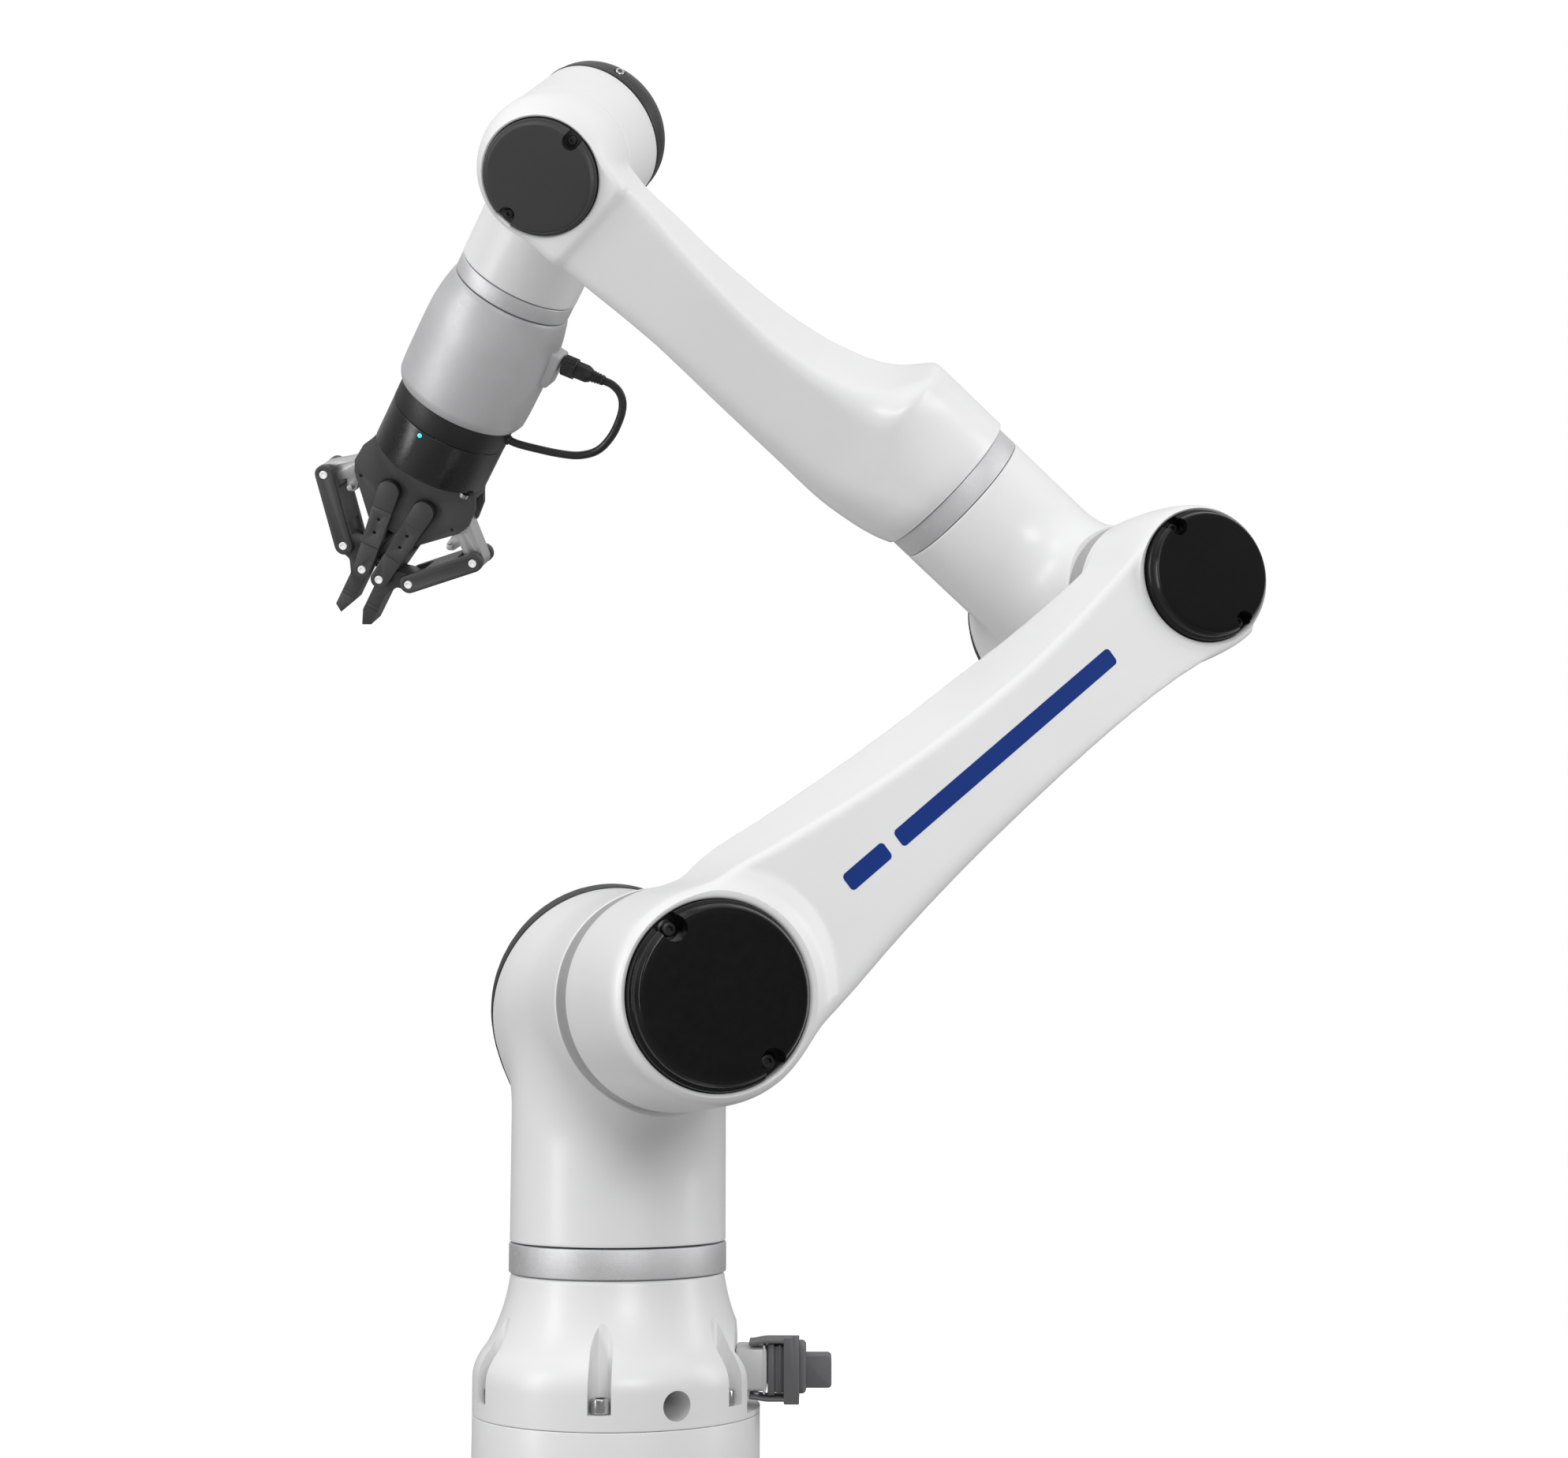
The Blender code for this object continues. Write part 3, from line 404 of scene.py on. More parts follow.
def nets(field, lo, hi, step):
    """Quad mesh of field = 0, points moved onto the surface."""
    cnt = [int(math.ceil((h - l) / step)) + 1 for l, h in zip(lo, hi)]
    ax = [l + step * np.arange(c) for l, c in zip(lo, cnt)]
    val = field(*np.meshgrid(*ax, indexing="ij"))
    cells = tuple(c - 1 for c in cnt)
    acc, num = np.zeros(cells + (3,)), np.zeros(cells)
    quads = []
    ids = np.arange(np.prod(cells)).reshape(cells)
    for a in range(3):
        s0 = [slice(None)] * 3
        s1 = [slice(None)] * 3
        s0[a], s1[a] = slice(0, -1), slice(1, None)
        va, vb = val[tuple(s0)], val[tuple(s1)]
        idx = np.argwhere((va < 0) != (vb < 0))
        fa, fb = va[tuple(idx.T)], vb[tuple(idx.T)]
        t = fa / (fa - fb)
        p = np.stack([ax[k][idx[:, k]] for k in range(3)], 1)
        p[:, a] += t * step
        u, v = (a + 1) % 3, (a + 2) % 3
        ring = []
        ok = np.ones(len(idx), bool)
        for du, dv in ((0, 0), (1, 0), (1, 1), (0, 1)):
            c = idx.copy()
            c[:, u] -= du
            c[:, v] -= dv
            ok &= (c[:, u] >= 0) & (c[:, v] >= 0) & (c[:, u] < cells[u]) & (c[:, v] < cells[v])
            ring.append(c)
        for c in ring:
            cc = c[ok]
            np.add.at(acc, tuple(cc.T), p[ok])
            np.add.at(num, tuple(cc.T), 1)
        q = np.stack([ids[tuple(c[ok].T)] for c in ring], 1)
        flip = (fa[ok] > 0)
        q[flip] = q[flip][:, ::-1]
        quads.append(q)
    quads = np.concatenate(quads)
    used, inv = np.unique(quads.ravel(), return_inverse=True)
    quads = inv.reshape(quads.shape)
    v = (acc.reshape(-1, 3) / np.maximum(num.reshape(-1, 1), 1))[used]
    e = 0.25
    for _ in range(4):
        f0 = field(*v.T)
        g = np.stack([(field(*(v + e * d).T) - field(*(v - e * d).T)) / (2 * e) for d in np.eye(3)], 1)
        st = f0 / np.maximum((g * g).sum(1), 0.2)
        v -= np.clip(st, -step, step)[:, None] * g
    return v, quads


def nets_bm(field, lo, hi, step):
    v, q = nets(field, lo, hi, step)
    me = bpy.data.meshes.new("nets")
    me.from_pydata([tuple(p) for p in v], [], [tuple(int(i) for i in f) for f in q])
    me.validate()
    bm = bmesh.new()
    bm.from_mesh(me)
    bpy.data.meshes.remove(me)
    bmesh.ops.recalc_face_normals(bm, faces=bm.faces)
    return bm


def trim(bm, co, no, r=0.9, inset=5.0, wall=0.0):
    """Cuts the surface on a plane and rolls the edge inward with radius r."""
    co, no = Vector(co), Vector(no).normalized()
    geom = bm.verts[:] + bm.edges[:] + bm.faces[:]
    bmesh.ops.bisect_plane(bm, geom=geom, dist=1e-4, plane_co=co - no * r, plane_no=no, clear_outer=True)
    bm.normal_update()
    rim = [e for e in bm.edges if e.is_boundary and all(abs((v.co - co + no * r).dot(no)) < 1e-3 for v in e.verts)]
    inward = {}
    for e in rim:
        f = e.link_faces[0]
        d = (e.verts[1].co - e.verts[0].co).normalized()
        out = d.cross(no)
        if out.dot(f.normal) < 0:
            out = -out
        for v in e.verts:
            inward[v] = inward.get(v, Vector((0, 0, 0))) - out
    ring = {v: v for v in inward}
    base = {v: v.co.copy() for v in inward}
    steps = [(r * math.sin(math.radians(a)), r * (1 - math.cos(math.radians(a)))) for a in (22.5, 45, 67.5, 90)]
    steps.append((r, r + inset))
    if wall:
        steps.append((r - wall, r + inset + 0.01))
    for up, side in steps:
        nxt = {v: bm.verts.new(base[v] + no * up + inward[v].normalized() * side) for v in inward}
        for e in rim:
            a, b = e.verts
            bm.faces.new((ring[a], ring[b], nxt[b], nxt[a]))
        ring = nxt


def casting(name, field, lo, hi, step, world, trims, cuts=()):
    bm = nets_bm(field, lo, hi, step)
    if cuts:
        me = bm_mesh(name, bm, np.eye(4), recalc=False)
        me = solid(name, me, cuts=[c for c in cuts])
        bm = bmesh.new()
        bm.from_mesh(me)
        bm.transform(Matrix.Scale(1 / MM, 4))
    for t in trims:
        trim(bm, *t)
    return bm_mesh(name, bm, world)


def rim_frame(world, y0, slope, turn_deg):
    """Frame on the slanted rim of a rear cover: y falls by slope along a direction turned from +Z towards +X."""
    a, h = math.radians(turn_deg), math.hypot(1, slope)
    down = np.array((-math.sin(a), slope, -math.cos(a))) / h
    out = np.array((slope * math.sin(a), 1, slope * math.cos(a))) / h
    return world @ mat4((0, y0, 0), np.array((math.cos(a), 0, -math.sin(a))), down, out)


STEP = 1.9

# ---------------------------------------------------------------- cable, first of the pieces
def spline(points, n):
    """Catmull-Rom curve through the points, read at n equal steps."""
    p = [np.array(q, float) for q in points]
    p = [2 * p[0] - p[1]] + p + [2 * p[-1] - p[-2]]
    dense = []
    for i in range(1, len(p) - 2):
        for t in np.linspace(0, 1, 24, endpoint=False):
            a, b, c, d = p[i - 1], p[i], p[i + 1], p[i + 2]
            dense.append(0.5 * ((2 * b) + (c - a) * t + (2 * a - 5 * b + 4 * c - d) * t * t + (3 * b - a - 3 * c + d) * t ** 3))
    dense = np.array(dense + [p[-2]])
    at = np.r_[0, np.cumsum(np.linalg.norm(np.diff(dense, axis=0), axis=1))]
    q = np.linspace(0, at[-1], n)
    return np.stack([np.interp(q, at, dense[:, k]) for k in range(3)], 1), at[-1]


CABLE_KNOTS = [(74.8, 0, 122.62), (80.0, 0, 122.2), (86.2, 0, 124.2), (91.0, 0, 129.5), (93.6, 0, 138.5), (94.0, 0, 151.5),
               (90.6, 0, 164.0), (82.0, 0, 173.2), (70.0, 0, 179.3), (55.2, 0, 184.6), (44.0, 0, 188.0), (36.6, 0, 188.9)]
cable_pts, CABLE_LEN = spline(CABLE_KNOTS, 96)
cable_world = (np.c_[cable_pts, np.ones(len(cable_pts))] @ M_TOOL.T)[:, :3] * MM
cu = bpy.data.curves.new("tool_cable_line", "CURVE")
cu.dimensions = "3D"
sp = cu.splines.new("POLY")
sp.points.add(len(cable_world) - 1)
for i, q in enumerate(cable_world):
    sp.points[i].co = (*q, 1.0)
cu.bevel_depth = 2.5 * MM
cu.bevel_resolution = 6
cu.use_fill_caps = True
cu.materials.append(MATS["rubber"])
cable = bpy.data.objects.new("tool_cable_line", cu)
scene.collection.objects.link(cable)
place("tool_cable_line", cable, "tool", ["tool_cable"], "rubber")

# ---------------------------------------------------------------- base
place("plinth_block", turn("plinth_block", round_poly([(0, 59.7), (79.4, 59.7, 0.5), (79.4, 0, 0.6), (0, 0)], n=4), M_BASE @ shift(0, 0, -60), 192),
      "base", ["plinth"], "white")

bell = flow([(0, 79.4), (20, 79.55), (24, 79.1), (31, 76.3), (38, 71.4), (47, 66.9), (58.5, 62.7), (67, 60.6), (75.1, 59.2)], 1.6)
prof = [(0, 75.1), (50.0, 75.1), (58.2, 75.1), (58.8, 74.9), (59.1, 74.4)]
prof += [(float(bell(z)), float(z)) for z in np.r_[np.arange(73.6, 0.6, -1.2), [0.5]]]
prof += [(79.1, 0.0), (0, 0)]
tools = []
RX = rot(90, "X")
for az in (38, 98, 158, 218, 278, 338):
    bend = [(70.6 - 6.2 * math.cos(t), 6.2 * math.sin(t)) for t in np.linspace(-math.pi / 2, math.pi / 2, 25)]
    # outline in the horizontal plane, extruded upward
    bm = bmesh.new()
    low = [bm.verts.new((x, y, 8.5)) for x, y in bend + [(92.0, 6.2), (92.0, -6.2)]]
    top = [bm.verts.new((v.co.x, v.co.y, 66.0)) for v in low]
    bm.faces.new(low)
    bm.faces.new(top[::-1])
    for i in range(len(low)):
        bm.faces.new((low[i], top[i], top[(i + 1) % len(low)], low[(i + 1) % len(low)]))
    tools.append(bm_mesh("slot", bm, around(az)))
tools.append(rod("side_port", 7.9, 46, 90, around(8.2) @ rot(90, "Y") @ shift(-12.2, 0, 0), 64))
tools.append(rod("cavity", 47.0, 10.0, 90.0, M_BASE, 64))
tools.append(bm_mesh("recess", box_bm((66.0, -31, 3.0), (95, 31, 52)), CON))
place("base_casting", solid("base_casting", turn("base_casting", prof, M_BASE, 224), cuts=tools), "base", ["base_housing"], "white", 30)


def hex_cut(name, af, z0, z1, world):
    return turn(name, [(0, z1), (af / 2 / math.cos(math.pi / 6), z1), (af / 2 / math.cos(math.pi / 6), z0), (0, z0)], world, 6)


for i, az in enumerate((38, 98, 158, 218, 278, 338)):
    w = around(az) @ shift(72.4, 0, 0)
    head = turn("bolt", round_poly([(0, 16.5), (5.3, 16.5, 0.6), (5.3, 8.9, 0.3), (0, 8.9)], n=3), w, 48, wave=lambda r, z, t: r - (0.12 * (0.5 + 0.5 * math.cos(24 * t)) if r > 5.2 and 9.5 < z < 15.6 else 0))
    place("base_bolt_fine_%d" % (i + 1), solid("bolt", head, cuts=[hex_cut("socket", 5.0, 12.4, 18, w)]), "base", ["base_bolt_%d" % (i + 1)], "steel", 30)

# connector on the base
c1 = solid("connector_box", block("connector_box", (66.3, -15, 12.3), (83.4, 15, 35.3), CON), bevel=1.5, segs=3)
place("connector_box", c1, "base", ["connector_housing"], "con_grey")
place("connector_seal_strip", solid("connector_seal_strip", block("s", (81.2, -15.35, 10.65), (82.6, 15.35, 36.95), CON), bevel=0.4, segs=2), "base", [], "con_grey")
hood = solid("hood_flange", block("hood_flange", (83.8, -14.0, 9.7), (87.6, 14.0, 37.8), CON), bevel=0.8, segs=2)
place("hood_flange", hood, "base", ["connector_hood"], "con_dark")
place("hood_body", solid("hood_body", block("hood_body", (87.3, -12.8, 11.2), (100.0, 12.8, 36.4), CON), bevel=1.2, segs=3), "base", [], "con_dark")
place("hood_rib", solid("hood_rib", block("hood_rib", (89.6, -13.3, 10.6), (91.2, 13.3, 37.0), CON), bevel=0.5, segs=2), "base", [], "con_dark")
place("hood_back", solid("hood_back", block("hood_back", (99.0, -13.2, 10.6), (105.0, 13.2, 37.0), CON), bevel=2.4, segs=4), "base", [], "con_dark")
tail = prism("hood_tail", round_poly([(102.0, 13.3), (119.0, 13.3, 2.2), (119.0, 30.7, 2.2), (102.0, 30.7)], closed=True, n=6), -9.5, 9.5, CON)
place("hood_tail", solid("hood_tail", tail, bevel=0.9, segs=3), "base", [], "con_dark")
for tag, z0, z1 in (("top", 36.4, 37.7), ("low", 9.9, 11.2)):
    place("lever_pivot_" + tag, turn("p", round_poly([(0, z1), (1.7, z1, 0.3), (1.7, z0, 0.3), (0, z0)], n=3), CON @ shift(77.7, -9.0, 0), 32), "base", [], "con_grey")

LV = CON @ shift(77.7, 0, 0)


def lever_arm(z, up):
    """Thin arm of the locking bail, its free end curled away from the housing."""
    th = 1.9
    line = [(-4.0, z + 1.3 * up), (-1.5, z + 1.2 * up), (2.0, z + 0.5 * up), (6.0, z), (23.5, z)]
    f = flow(line, 1.0)
    xs = np.linspace(-4.0, 23.5, 24)
    top = [(x, float(f(x)) + th / 2) for x in xs]
    low = [(x, float(f(x)) - th / 2) for x in xs[::-1]]
    return solid("lever_arm", prism("lever_arm", top + low, -18.6, 4.0, LV), bevel=0.5, segs=2)


place("lever_arm_top", lever_arm(39.2, -1), "lever", ["connector_lever"], "con_dark")
place("lever_arm_low", lever_arm(8.1, 1), "lever", [], "con_dark")
bar = prism("lever_bar", round_poly([(15.0, 5.7, 0.8), (23.5, 5.7, 0.8), (23.5, 42.3, 0.8), (20.4, 42.3, 0.5), (19.8, 41.2, 0.5), (15.0, 41.2, 0.8)], closed=True, n=4), -18.8, -16.4, LV)
place("lever_bar_front", solid("lever_bar", bar, bevel=0.45, segs=2), "lever", [], "con_dark")


# ---------------------------------------------------------------- rings
def joint_ring(name, r, r_in, z0, z1, world, body, node, mat, edge=0.7, seg=192):
    prof = round_poly([(r_in, z1), (r, z1, edge), (r, z0, edge), (r_in, z0)], n=4)
    me = turn(name, prof, world, seg, closed=True)
    return place(name, me, body, [node], mat, 40)


joint_ring("j1_ring_fine", 60.4, 50, 75.7, 91.7, M_BASE, "shoulder", "j1_ring", "ring")
joint_ring("j2_ring_fine", 59.1, 50, 88.6, 108.6, M_SHOULDER @ FLIP, "shoulder", "j2_ring", "grey", 0.4)
joint_ring("j3_ring_fine", 46.0, 38, 68.6, 84.2, M_ELBOW @ FLIP, "elbow", "j3_ring", "grey", 0.4)
joint_ring("j4_ring_fine", 46.9, 38, 109.3, 123.0, FA, "elbow", "j4_ring", "ring")
joint_ring("j6_ring_fine", 37.1, 29, 93.1, 103.4, M_TOOL, "wrist", "j6_ring", "ring")

# ---------------------------------------------------------------- joint housings
MODULES = (
    ("shoulder", "shoulder", M_SHOULDER, dict(neck=60.0, end=131.9, front=88.2, y0=30.5, slope=0.43, turned=0.0, dome=43.0, rr=66.1, k=46.0,
     drum=[(-98, 59.5), (-88, 59.6), (-60, 59.8), (-40, 60.4), (-12, 63.0), (14, 65.6), (32, 66.1), (95, 66.1)])),
    ("elbow", "elbow", M_ELBOW, dict(neck=47.0, end=109.1, front=68.2, y0=43.7, slope=0.43, turned=0.0, dome=34.0, rr=51.5, k=38.0,
     drum=[(-78, 46.5), (-68, 46.6), (-45, 46.8), (-25, 47.4), (0, 49.2), (28, 51.1), (42, 51.5), (95, 51.5)])),
    ("wrist", "wrist", M_WRIST, dict(neck=37.3, end=92.8, front=62.6, y0=23.3, slope=0.63, turned=25.5, dome=28.5, rr=42.6, k=24.0,
     drum=[(-72, 41.3), (-62, 41.3), (-40, 41.5), (-20, 41.8), (0, 42.3), (15, 42.6), (30, 42.6), (75, 42.6)])),
)
WELL = (-20.1, -43.9, 7.0, -25.0)
for name, body, world, d in MODULES:
    radius = flow(d["drum"], 3.0)

    def field(x, y, z, d=d, radius=radius):
        rn, rd = np.hypot(x, y), np.hypot(x, z)
        neck = np.maximum(rn - d["neck"], np.maximum(z - 8.0, -z - d["end"] - 8.0))
        drum = np.maximum(rd - radius(y), np.maximum(-y - d["front"] - 8.0, y - 90.0))
        same = np.clip(x * x / np.maximum(rn * rd, 1.0), 0, 1)
        return smin(neck, drum, d["k"] * (1.0 - same) ** 0.8 + 0.01)

    m = d["rr"] + 6
    co = (0, d["y0"], 0)
    slant = math.radians(d["turned"])
    no = (d["slope"] * math.sin(slant), 1, d["slope"] * math.cos(slant))
    trims = [((0, -d["front"], 0), (0, -1, 0), 0.8, 6.0), (co, no, 0.7, 5.0), ((0, 0, -d["end"] + 0.3), (0, 0, -1), 0.8, 6.0)]
    back = d["y0"] + d["slope"] * m + 6
    me = casting(name + "_casting", field, (-m, -d["front"] - 6, -d["end"] - 6), (m, back, m), STEP, world, trims)
    place(name + "_casting", me, body, [name + "_housing"], "white", 40)
    # domed rear cover, seated on the slanted rim
    rr, dome = d["rr"], d["dome"]
    k = math.hypot(1, d["slope"])
    prof = [(0, dome)]
    for i in range(1, 26):
        a = math.radians(90 * i / 26)
        prof.append((rr * math.sin(a) ** 0.88, 2.4 + (dome - 2.4) * math.cos(a)))
    prof += [(rr + 0.25, 2.0), (rr + 0.35, 1.5), (rr + 0.25, 0.8), (rr - 0.5, 0.35), (rr - 8, 0.35)]
    tilt = rim_frame(world, d["y0"], d["slope"], d["turned"])

    # the casting's own outline in the plane of the rim, found outwards along 181 directions
    ts, rs = np.linspace(0, 2 * math.pi, 181), np.linspace(0.8 * rr, 1.4 * rr, 301)
    rim = []
    for t in ts:
        f = field(rs * math.cos(t + slant), d["y0"] + d["slope"] * rs * math.sin(t), -rs * math.sin(t + slant))
        rim.append(rs[int(np.argmax(f > 0))] if (f > 0).any() else rr)

    def follow(r, z, t, rr=rr, ts=ts, rim=rim):
        """The casting's own outline at the slanted rim, fading out towards the crown."""
        return r - (r / rr) ** 3 * (rr - float(np.interp(t % (2 * math.pi), ts, rim)))

    if name == "wrist":
        cap = solid(name + "_cover", turn(name + "_cover", prof[:-1] + [(0, 0.35)], tilt @ np.diag((1, k, 1, 1)), 160, follow),
                    cuts=[rod("well", 3.3, -2.6, 12, tilt @ shift(*WELL[:3]) @ rot(WELL[3], "Z") @ rot(90, "X"), 40)])
    else:
        cap = turn(name + "_cover", prof, tilt @ np.diag((1, k, 1, 1)), 160, follow)
    place(name + "_cover", cap, body, [name + "_rear_cap"], "matt_black", 38)

# silver screw in the wrist cover
ws = rim_frame(M_WRIST, 23.3, 0.63, 25.5) @ shift(*WELL[:3]) @ rot(WELL[3], "Z") @ rot(90, "X")
sc = turn("wrist_cover_screw", round_poly([(0, 0.1), (2.7, 0.1, 0.7), (2.7, -2.5), (0, -2.5)], n=4), ws, 40)
place("wrist_cover_screw", solid("wrist_cover_screw", sc, cuts=[hex_cut("k", 2.6, -1.5, 2, ws)]), "wrist", ["rear_cap_screw"], "steel", 30)


# ---------------------------------------------------------------- arm castings
def outline_box(z, d, w_lo, w_hi, back, front, radii):
    """Signed distance to a rectangle w_lo..w_hi by back..front with its own radius at each corner.
    radii: (low back, low front, high back, high front)."""
    mz, md = (w_lo + w_hi) / 2, (back + front) / 2
    hz, hd = (w_hi - w_lo) / 2, (front - back) / 2
    r = np.where(z > mz, np.where(d > md, radii[3], radii[2]), np.where(d > md, radii[1], radii[0]))
    r = np.minimum(r, np.minimum(hz, hd) - 0.2)
    qz, qd = np.abs(z - mz) - (hz - r), np.abs(d - md) - (hd - r)
    return np.hypot(np.maximum(qz, 0), np.maximum(qd, 0)) + np.minimum(np.maximum(qz, qd), 0) - r


def boss(rho, d, radius, d0, d1):
    return np.maximum(rho - radius(d), np.maximum(d0 - d, d - d1))


U_HALF = flow([(0, 49), (30, 48.2), (63, 45.4), (90, 42.0), (116, 39.4), (172, 35.1), (232, 32.7), (275, 31.7), (310, 32.8), (343, 36.0), (372, 41.0), (400, 42)], 8.0)
U_RISE = flow([(0, 0), (30, 0), (60, 4.6), (88, 5.0), (110, 5.0), (131, 5.2), (154, 5.2), (177, 5.3), (200, 5.2), (236, 5.6), (290, 4.6), (330, 2.8), (365, 0.4), (400, 0)], 6.0)
U_FACE = flow([(0, 42), (54, 37.5), (90, 32.0), (129, 27.6), (172, 25.5), (215, 25.0), (250, 26.3), (285, 28.8), (320, 31.0), (350, 33.8), (372, 37.5), (400, 38)], 9.0)
U_CREST = flow([(0, 46), (30, 45), (47, 43.9), (61, 41), (102, 34.4), (146, 28.9), (189, 25.7), (219, 24.5), (249, 24.2), (285, 26.2), (320, 30), (350, 33.8), (372, 37.5), (400, 38)], 7.0)
U_BACK = flow([(0, 109.6), (66, 109.6), (120, 105.8), (372, 87.4), (400, 86.6)], 8.0)
B2 = flow([(105, 59.2), (112, 59.0), (130, 57.8), (150, 56.5), (165, 55.4), (175, 54.4), (179.5, 53.6), (183.5, 50.8), (186, 47.4), (190, 44), (196, 38)], 1.2)
B3 = flow([(82, 46.4), (92, 46.3), (110, 45.7), (125, 44.4), (136, 42.8), (143, 41.3), (148.5, 38.8), (154, 34), (160, 28)], 1.4)


def upper_field(x, y, z):
    d = -y
    rho2, rho3 = np.hypot(x, z), np.hypot(x - UPPER_LEN, z)
    plane = 181.5 - 0.0921 * x
    cone = 183.5 - 0.42 * (rho2 - 49.5)
    front = np.where(rho2 < 95, np.maximum(plane, cone), plane)
    w, wf = U_HALF(x), U_FACE(x)
    rf = np.clip(w - wf, 3.2, 15.0)
    back = U_BACK(x)
    # the upper side face leans in from the back edge to a crisp ridge along the front face
    lean = np.clip((d - back - 8.0) / (front - back - 8.0), 0, 1.1)
    top = w + U_RISE(x) - (w + U_RISE(x) - U_CREST(x)) * lean
    beam = outline_box(z, d, -w, top, back, front, (13.0, rf, 10.0, 3.6))
    beam = np.maximum(beam, np.maximum(4.0 - x, x - UPPER_LEN - 4.0))
    out = smin(boss(rho2, d, B2, 102.0, 196), beam, 7.0)
    return smin(out, boss(rho3, d, B3, 79.0, 160), 7.0)


def seat(name, r, floor, lip, top, flare, world):
    """Cutter for a cap's seat: a bore whose mouth opens in a small round."""
    prof = [(0, floor), (r, floor), (r, lip)] + [(r + a, lip + b) for a, b in flare] + [(r + 26, top), (0, top)]
    return turn(name, prof[::-1], world, 160)


L2, L3 = FLIP, shift(UPPER_LEN, 0, 0) @ FLIP
ROUND = [(0.08, 0.5), (0.3, 1.0), (0.65, 1.4), (1.15, 1.7), (1.8, 1.86), (3.0, 1.95), (26, 2.2)]
WIDE = [(0.12, 0.9), (0.5, 1.8), (1.15, 2.6), (2.1, 3.3), (3.4, 3.9), (5.0, 4.35), (7.4, 4.8), (12.0, 5.3)]
cuts = [seat("j2_seat", 48.0, 121.0, 182.0, 205.0, ROUND, L2), seat("j3_seat", 37.6, 96.0, 145.9, 175.0, WIDE, L3),
        rod("j2_seam", 64.0, 90.0, 109.3, L2, 160), rod("j3_seam", 54.0, 60.0, 84.9, L3, 160)]
me = casting("upper_arm_casting", upper_field, (-66, -200, -66), (434, -72, 66), STEP, M_UPPER, [], cuts)
place("upper_arm_casting", me, "upper_arm", ["upper_arm"], "white", 33)

F_LO = flow([(110, -49.4), (123.6, -49.4), (150, -49.45), (174, -49.4), (177.2, -48.9), (180, -46.2), (182, -43.4), (187, -36.3), (192, -30.8), (198, -26.2), (205, -22.6), (213, -19.6), (222, -17.6), (238, -15.0), (264, -14.2), (285, -15.6), (305, -17.6), (335, -21.3), (358, -25.2), (376, -27.6), (400, -31.5), (430, -35)], 1.6)
F_TILT = flow([(110, 0), (176, 0), (180, 1.2), (187, 2.2), (205, 2.4), (240, 2.3), (340, 2.4), (362, 0.6), (380, 0), (430, 0)], 4.0)
F_HI = flow([(110, 48.3), (123.6, 48.4), (130, 49.9), (137, 50.9), (144, 51.7), (150, 51.8), (163, 51.5), (175, 50.6), (188, 48.9), (205, 46.4), (216, 45.0), (240, 42.2), (269, 39.0), (290, 36.6), (312, 34.6), (335, 34.0), (362, 34.2), (385, 34.8), (430, 36)], 2.5)
F_FRONT = flow([(110, 48.3), (122.6, 48.4), (127, 50.6), (132, 52.0), (138, 53.0), (144, 53.6), (150, 54.4), (160, 55.6), (170, 57.0), (186, 59.4), (205, 63.0), (238, 70.4), (270, 78.0), (305, 86.4), (335, 92.4), (358, 96.6), (374, 99.2), (377.5, 100.0), (382, 105.0), (385.5, 105.7), (430, 105.7)], 0.8)
F_BACK = flow([(110, -49.4), (123.6, -49.4), (150, -49.45), (174, -49.4), (178.5, -48.0), (182, -44.5), (187, -38.5), (192, -33.0), (198, -28.0), (205, -22.8), (222, -14.0), (238, -5.5), (270, 12.5), (305, 33.5), (335, 49.0), (358, 58.5), (372, 63.4), (390, 63.6), (430, 63.6)], 2.0)
F_RTOP = flow([(110, 48.0), (150, 47.5), (163, 45.5), (172, 40), (180, 33), (188, 26), (196, 19.5), (205, 14), (220, 9.5), (240, 7.5), (290, 6.0), (340, 5.5), (380, 5.5), (430, 5.5)], 3.0)
F_RLOW = flow([(110, 48.2), (123.6, 48.2), (137, 45), (150, 40), (170, 31), (190, 24), (215, 19), (250, 15), (300, 12), (340, 10), (380, 9), (430, 9)], 4.0)
F_RBACK = flow([(110, 49.2), (123.6, 49.2), (174, 49.2), (178.5, 47.4), (182, 43), (187, 35), (192, 28.5), (198, 23.5), (205, 19.5), (215, 17), (250, 15), (300, 13), (340, 11), (380, 9), (430, 9)], 1.6)
B5 = flow([(60, 41.0), (66, 41.5), (80, 41.5), (87, 40.9), (93, 39.6), (99.5, 37.2), (104.5, 34.4), (108, 31.6), (113, 27)], 1.3)


def fore_field(x, y, z):
    d = -y
    back, front = F_BACK(x), F_FRONT(x)
    low = F_LO(x) - F_TILT(x) * np.clip((front - d) / np.maximum(front - back, 1.0), -0.3, 1.3)
    beam = outline_box(z, d, low, F_HI(x), back, front, (F_RBACK(x), F_RTOP(x), F_RBACK(x), F_RLOW(x)))
    beam = np.maximum(beam, np.maximum(118.0 - x, x - FORE_LEN - 2.0))
    return smin(beam, boss(np.hypot(x - FORE_LEN, z), d, B5, 57.0, 113), 2.0)


L5 = shift(FORE_LEN, 0, 0) @ FLIP
me = casting("forearm_casting", fore_field, (114, -116, -56), (466, 58, 58), STEP, M_FORE,
             [((123.6, 0, 0), (-1, 0, 0), 0.8, 6.0)],
             [seat("j5_seat", 32.6, 72.0, 103.6, 130.0, [(0.07, 0.45), (0.3, 0.9), (0.65, 1.25), (1.1, 1.5), (1.8, 1.66), (3, 1.75), (26, 2.0)], L5),
              rod("j5_seam", 50.0, 40.0, 63.3, L5, 160)])
place("forearm_casting", me, "forearm", ["forearm"], "white", 33)

